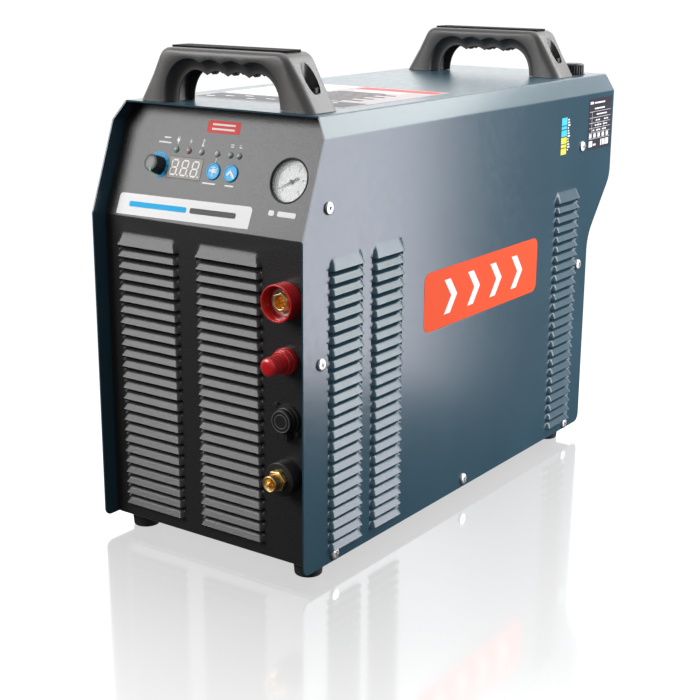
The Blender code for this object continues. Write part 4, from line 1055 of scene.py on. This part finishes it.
def make_side_print():
    """Plain generic marks in the places where the unit carries its labels."""
    for side, frame_side, sign in SIDES:
        panel = moved(frame_side, sign * 300, 207.5)
        decal(f"side_panel_{side}", [block(-112, -29, 112, 29, 9, 6)], panel, "orange",
              "cover_paint")
        arrows = [[(x, -17), (x + 11, -17), (x + 24, 0), (x + 11, 17), (x, 17), (x + 13, 0)]
                  for x in range(-76, 57, 44)]
        decal(f"side_arrows_{side}", arrows, panel, "white", "cover_paint", *SECOND_FILM)
    top = 357.0
    for ink, heights in (("cyan", (8.0, 3.0, 6.6)), ("yellow", (6.6, 3.0, 6.4))):
        bars = []
        for height in heights:
            bars.append(block(456.5, top - height, 469.0, top, 0.2))
            top -= height + 1.1
        decal(f"side_bars_{ink}", bars, RIGHT, ink, "cover_paint")
    marks = [block(471.0, 321.5 + 2.9 * i, 473.2 + 3.2 * ((i * 7) % 4) / 3, 323.1 + 2.9 * i, 0.3)
             for i in range(12)]
    decal("side_bar_marks", marks, RIGHT, "white", "cover_paint")
    decal("rating_plate", [block(521, 316, 577, 372, 1.0)], RIGHT, "dark", "cover_paint")
    lines = blocks(0.3, (523.5, 366.0, 531, 368.6), (534, 366.2, 560, 367.8),
                   (535, 360.0, 560, 361.6), (540, 353.6, 566, 355.0))
    for z in (357.6, 351.0, 345.2, 339.6, 334.4, 327.8):
        lines.append(bar(522.6, z, 575.4, z, 0.35))
    for x, low, high in ((529, 334.4, 357.6), (545, 334.4, 345.2), (560, 327.8, 345.2)):
        lines.append(bar(x, low, x, high, 0.35))
    for i in range(14):
        x, z = 531.5 + (i * 17) % 36, 336.2 + 5.5 * (i % 3)
        lines.append(block(x, z, x + 4.5, z + 1.5, 0.3))
    lines += [block(523.6 + 10.6 * i, 328.8, 529.6 + 10.6 * i, 333.4, 0.6) for i in range(5)]
    lines += [block(523.6, 319.0, 532.4, 325.6, 0.4), block(534.2, 320.0, 541, 322.0, 0.3)]
    lines += blocks(0.2, (553, 319.0, 556, 325.8), (558, 319.0, 562, 325.8),
                    (564, 319.0, 573, 325.8))
    decal("rating_plate_lines", lines, RIGHT, "white", "cover_paint", *SECOND_FILM)


def make_top_print():
    """A generic instruction label on the top: plain fields and rows of bars."""
    white = blocks(1.0, (-84, 146, -14, 272), (6, 232, 60, 246))
    white += blocks(0.8, *((-78 + 16 * i, 112 + 9 * (i % 3), -68 + 16 * i, 115 + 9 * (i % 3))
                           for i in range(9)))
    lines = []
    for i in range(9):
        y = 150 + 9.0 * i
        lines += blocks(0.8, (-6, y, 50 + (i * 17) % 34, y + 3.4),
                        (-78, y + 20, -40 + (i * 29) % 20, y + 22))
    for name, outlines, ink, film in (
            ("", [block(-88, 100, 90, 276, 2.0)], "pale", (0.02, 0.16)),
            ("_dark", [block(-84, 104, 86, 142, 1.0)], "grey", SECOND_FILM),
            ("_white", white, "white", (0.22, 0.34)),
            ("_lines", lines, "grey", (0.32, 0.42)),
            ("_band", [block(-6, 254, 86, 272, 1.0)], "red", SECOND_FILM)):
        decal("top_label" + name, outlines, TOP, ink, "cover_paint", *film)


# ----------------------------------------------------------------------- rear

def make_rear():
    outline = [(-PANEL_HALF, 1.5), (PANEL_HALF, 1.5), (PANEL_HALF, SHOULDER_Z),
               (PANEL_TOP_X, PANEL_TOP_Z), (-PANEL_TOP_X, PANEL_TOP_Z), (-PANEL_HALF, SHOULDER_Z)]
    holes = []
    radius, pitch, slot = 54.0, 9.0, 5.2
    for z in FAN_Z:
        for i in range(-5, 6):
            reach = math.sqrt(radius ** 2 - (i * pitch) ** 2)
            low = z + i * pitch - slot / 2
            holes.append(block(-FAN_X - reach, low, -FAN_X + reach, low + slot, 2.4))
    holes.append([(x - SWITCH[0], z + SWITCH[1]) for x, z in block(-20.5, -20.5, 20.5, 20.5, 2)])
    for (x, z), r in ((GLAND, 15.3), (EARTH, 4.3), (PORT, 6.5)):
        holes.append(circle(-x, z, r, 40))
    build("rear_sheet", slab(outline, -1.8, 0, holes), REAR, "rear_panel", bevel=0.25)
    for level, z in zip(("lower", "upper"), FAN_Z):
        for i, (dx, dz) in enumerate(((-1, -1), (1, -1), (1, 1), (-1, 1))):
            spot = moved(REAR, -FAN_X + dx * 52.5, z + dz * 52.5, 0.02, 25 * i)
            screw(f"fan_screw_{level}_{i + 1}", spot, 3.4, 1.8)

    spot = moved(REAR, -SWITCH[0], SWITCH[1])
    plate = slab(block(-24, -24, 24, 24, 3), 0.3, 3.3)
    slab(block(-20, -20, 20, 20, 1), -45, 0.35, bm=plate)
    build("switch_plate", plate, spot, "power_switch", bevel=0.5)
    knob = lathe([(0, 9), (15.6, 9), (17, 7.6), (17, 3.6), (0, 3.6)], 72)
    slab(block(-4.5, -16, 4.5, 16, 2.2), 8.8, 20, bm=knob)
    build("switch_grip", knob, spot, "power_switch_knob", "power_switch_knob", bevel=0.8,
          segments=3)
    decal("switch_pointer", [block(-0.8, 6, 0.8, 15, 0.6)], spot, "white", "black_plastic",
          20.02, 20.18, "power_switch_knob")
    ring = arc(-20.6, 0, 2.0, 0, 358, 24) + arc(-20.6, 0, 1.1, 358, 0, 24)
    decal("switch_marks", [block(-0.9, 18.6, 0.9, 22.6, 0.4), ring], spot, "white",
          "grey_plastic", 3.32, 3.46)

    spot = moved(REAR, -GLAND[0], GLAND[1])
    gland = [(7.6, 29), (12.2, 29), (13.6, 28), (16.2, 25.5), (16.6, 24.6), (16.6, 11),
             (19.4, 10.6), (19.5, 9.6), (19.5, 0.3), (15, 0.3), (15, -14), (7.6, -14)]
    build("cable_gland_body", lathe(gland, 72, closed=True), spot, "cable_gland", bevel=0.3)
    rib = block(16.2, -1.0, 17.3, 1.0, 0.4)
    for i in range(18):
        build(f"gland_rib_{i + 1}", slab(shifted(rib, 0, 0, 20 * i), 12, 24.2), spot,
              "black_plastic", bevel=0.2)
    bolt = lathe([(0, 14), (3.4, 14), (4, 13.4), (4, 6), (8, 6), (8, 0.3), (4, 0.3), (4, -10),
                  (0, -10)], 48)
    slab(arc(0, 0, 7.4, 15, 315, 5), 5.8, 10.6, [circle(0, 0, 3.9, 32)], bolt)
    build("earth_bolt", bolt, moved(REAR, -EARTH[0], EARTH[1]), "earth_terminal", bevel=0.25)


def make_air_unit():
    x, y = REGULATOR
    spot = moved(CASE, x, y)
    knob = ribbed(12.0, 0.9, 24, 0.5, 388.4, 405.6)
    lathe([(0, 407.4), (9.0, 407.4), (10.8, 406.8), (11.3, 405.6), (0, 405.6)], 64, knob)
    build("regulator_handwheel", knob, spot, "regulator_knob", "regulator_knob", smooth=50)
    body = [(0, 388), (14.2, 388), (15, 387), (16.5, 372.5), (19, 372), (19, 335), (0, 335)]
    build("regulator_body", lathe(body, 72), spot, "filter_regulator", bevel=0.5)
    back = face(x, y, PORT[1], math.pi / 2, 0, math.pi)
    ports = [(0, -14), (10, -14), (10, -30), (6, -30), (6, -52), (0, -52)]
    build("regulator_ports", lathe(ports, 48), back, "aluminium", bevel=0.4)
    bowl = [(0, 273.5), (8, 275.5), (12.8, 284), (12.8, 334.6), (15.6, 334.6), (16, 334),
            (16, 282), (13.5, 276.4), (9, 272), (4, 270), (0, 270)]
    build("filter_bowl_clear", lathe(bowl, 64), spot, "filter_bowl", smooth=40)
    build("drain_tap", ribbed(5.0, 0.6, 10, 0.3, 260, 269.6), spot, "bowl_drain", "bowl_drain",
          bevel=0.2, smooth=50, limit=50)
    side = face(x, y, PORT[1], 0, math.pi / 2, 0)
    nipple = [(0, 19.4), (8, 19.4), (8, 26.6), (5.4, 27), (5.4, 31), (4.6, 33), (5.4, 33.2),
              (4.6, 36.4), (5.4, 36.6), (4.6, 39.8), (5.4, 40), (4.4, 47.6), (4.0, 48),
              (2.5, 48), (2.5, 22), (0, 22)]
    turned = lathe([(r, -z) for r, z in nipple], 48)
    build("air_inlet_nipple", turned, side, "air_inlet", bevel=0.15)


# -------------------------------------------------------------------- studio

BACKDROP, ROOM_LOW, ROOM_HIGH = 2.2, 0.05, 0.42
POLISH, POLISH_REACH = 0.40, 0.40


def softbox(name, position, target, size, radiance, colour=(1, 1, 1)):
    """A rectangular light that the camera doesn't see; radiance 1 looks white."""
    light = bpy.data.lights.new(name, "AREA")
    light.shape = "RECTANGLE"
    light.size, light.size_y = size
    light.energy = radiance * math.pi * size[0] * size[1]
    light.color = colour
    obj = bpy.data.objects.new(name, light)
    obj.location = position
    obj.rotation_euler = (Vector(target) - Vector(position)).to_track_quat("-Z", "Y").to_euler()
    obj.visible_camera = False
    SCENE.collection.objects.link(obj)


def make_floor():
    """A white floor whose polish shows near the object and fades away from it."""
    mesh = bpy.data.meshes.new("studio_floor")
    bm = bmesh.new()
    bmesh.ops.create_grid(bm, x_segments=1, y_segments=1, size=40)
    bm.to_mesh(mesh)
    bm.free()
    floor = bpy.data.objects.new("studio_floor", mesh)
    SCENE.collection.objects.link(floor)
    n = finish("studio_floor")
    past = n.vector("SUBTRACT", n.vector("ABSOLUTE", n.position)[0], (0.12, 0.28, 10))[0]
    distance = n.vector("LENGTH", n.vector("MAXIMUM", past, (0, 0, 0))[0])["Value"]
    gloss = n.add("ShaderNodeBsdfGlossy", {"Roughness": 0.10}).outputs[0]
    white = n.add("ShaderNodeEmission", {"Strength": 1.0}).outputs[0]
    matt = n.add("ShaderNodeBsdfDiffuse", {"Color": (0.05, 0.05, 0.05, 1)}).outputs[0]
    base = n.add("ShaderNodeAddShader", {0: white, 1: matt}).outputs[0]
    polish = n.spread(distance, POLISH, 0.0, 0.0, POLISH_REACH)
    both = n.add("ShaderNodeMixShader", {0: polish, 1: base, 2: gloss}).outputs[0]
    n.feed(n.tree.nodes["Material Output"], {"Surface": both})
    mesh.materials.append(n.owner)
    floor.visible_glossy = floor.visible_diffuse = floor.visible_shadow = False


def make_world():
    """White backdrop behind the object, dim room in front of it and below."""
    SCENE.world = bpy.data.worlds.new("studio")
    n = Nodes(SCENE.world)

    def graded(value, start, end, low=0.0, high=1.0):
        return n.spread(value, low, high, start, end, interpolation_type="SMOOTHSTEP")

    direction = n.coordinates["Generated"]
    behind = n.vector("DOT_PRODUCT", direction, (-0.574, 0.819, 0))["Value"]
    upward = n.add("ShaderNodeSeparateXYZ", {0: direction}).outputs["Z"]
    backdrop = n.number("MULTIPLY", graded(behind, 0.25, 0.75), graded(upward, -0.03, 0.05))
    room = graded(upward, -0.25, 0.5, ROOM_LOW, ROOM_HIGH)
    seen = n.number("MAXIMUM", n.number("MULTIPLY", backdrop, BACKDROP), room)
    camera = n.add("ShaderNodeLightPath").outputs["Is Camera Ray"]
    n.feed(n.tree.nodes["Background"],
           {"Color": (1, 1, 1, 1), "Strength": n.number("MAXIMUM", seen, camera)})


def make_studio():
    make_floor()
    make_world()
    softbox("right_rear", (1.13, 0.845, 0.175), (0.12, -0.15, 0.195), (0.76, 0.92), 6.6,
            (1, 0.965, 1.045))
    softbox("right_middle", (1.08, 0.88, 0.82), (0.12, -0.15, 0.30), (0.8, 0.42), 6.6,
            (0.97, 1, 0.98))
    softbox("high_rear", (0.78, 1.05, 1.45), (0.1, -0.1, 0.4), (1.0, 0.9), 7.6, (0.97, 1, 0.98))
    softbox("overhead", (0.0, -0.2, 2.0), (0, 0, 0.3), (1.4, 1.4), 1.6)
    softbox("front_left", (-0.80, -1.12, 0.84), (0, -0.27, 0.30), (0.74, 0.74), 8.1)


def make_camera():
    camera = bpy.data.cameras.new("camera")
    camera.lens, camera.sensor_width, camera.clip_end = 72.08, 36, 100
    obj = bpy.data.objects.new("camera", camera)
    SCENE.collection.objects.link(obj)
    place = Matrix.Translation((0.7955, -1.1816, 0.5384))
    for angle, axis in ((35.03, "Z"), (90 - 15.84, "X"), (0.36, "Z")):
        place = place @ Matrix.Rotation(math.radians(angle), 4, axis)
    obj.matrix_world = place
    SCENE.camera = obj


random.seed(7)
SCENE.view_settings.view_transform = "Standard"
make_camera()
make_studio()
for node, slot in SLOTS.items():
    materials = frame["nodes"][node].data.materials
    materials.clear()
    materials.append(LOOKS[slot])
make_cover()
make_fascia()
for end, y in zip(("front", "rear"), HANDLE_Y):
    make_handle(end, y)
for make in (make_knob, make_panel_controls, make_panel_print, make_gauge, make_work_socket,
             make_pilot_post, make_control_socket, make_torch_fitting, make_screws, make_feet,
             make_side_print, make_top_print, make_rear, make_air_unit):
    make()
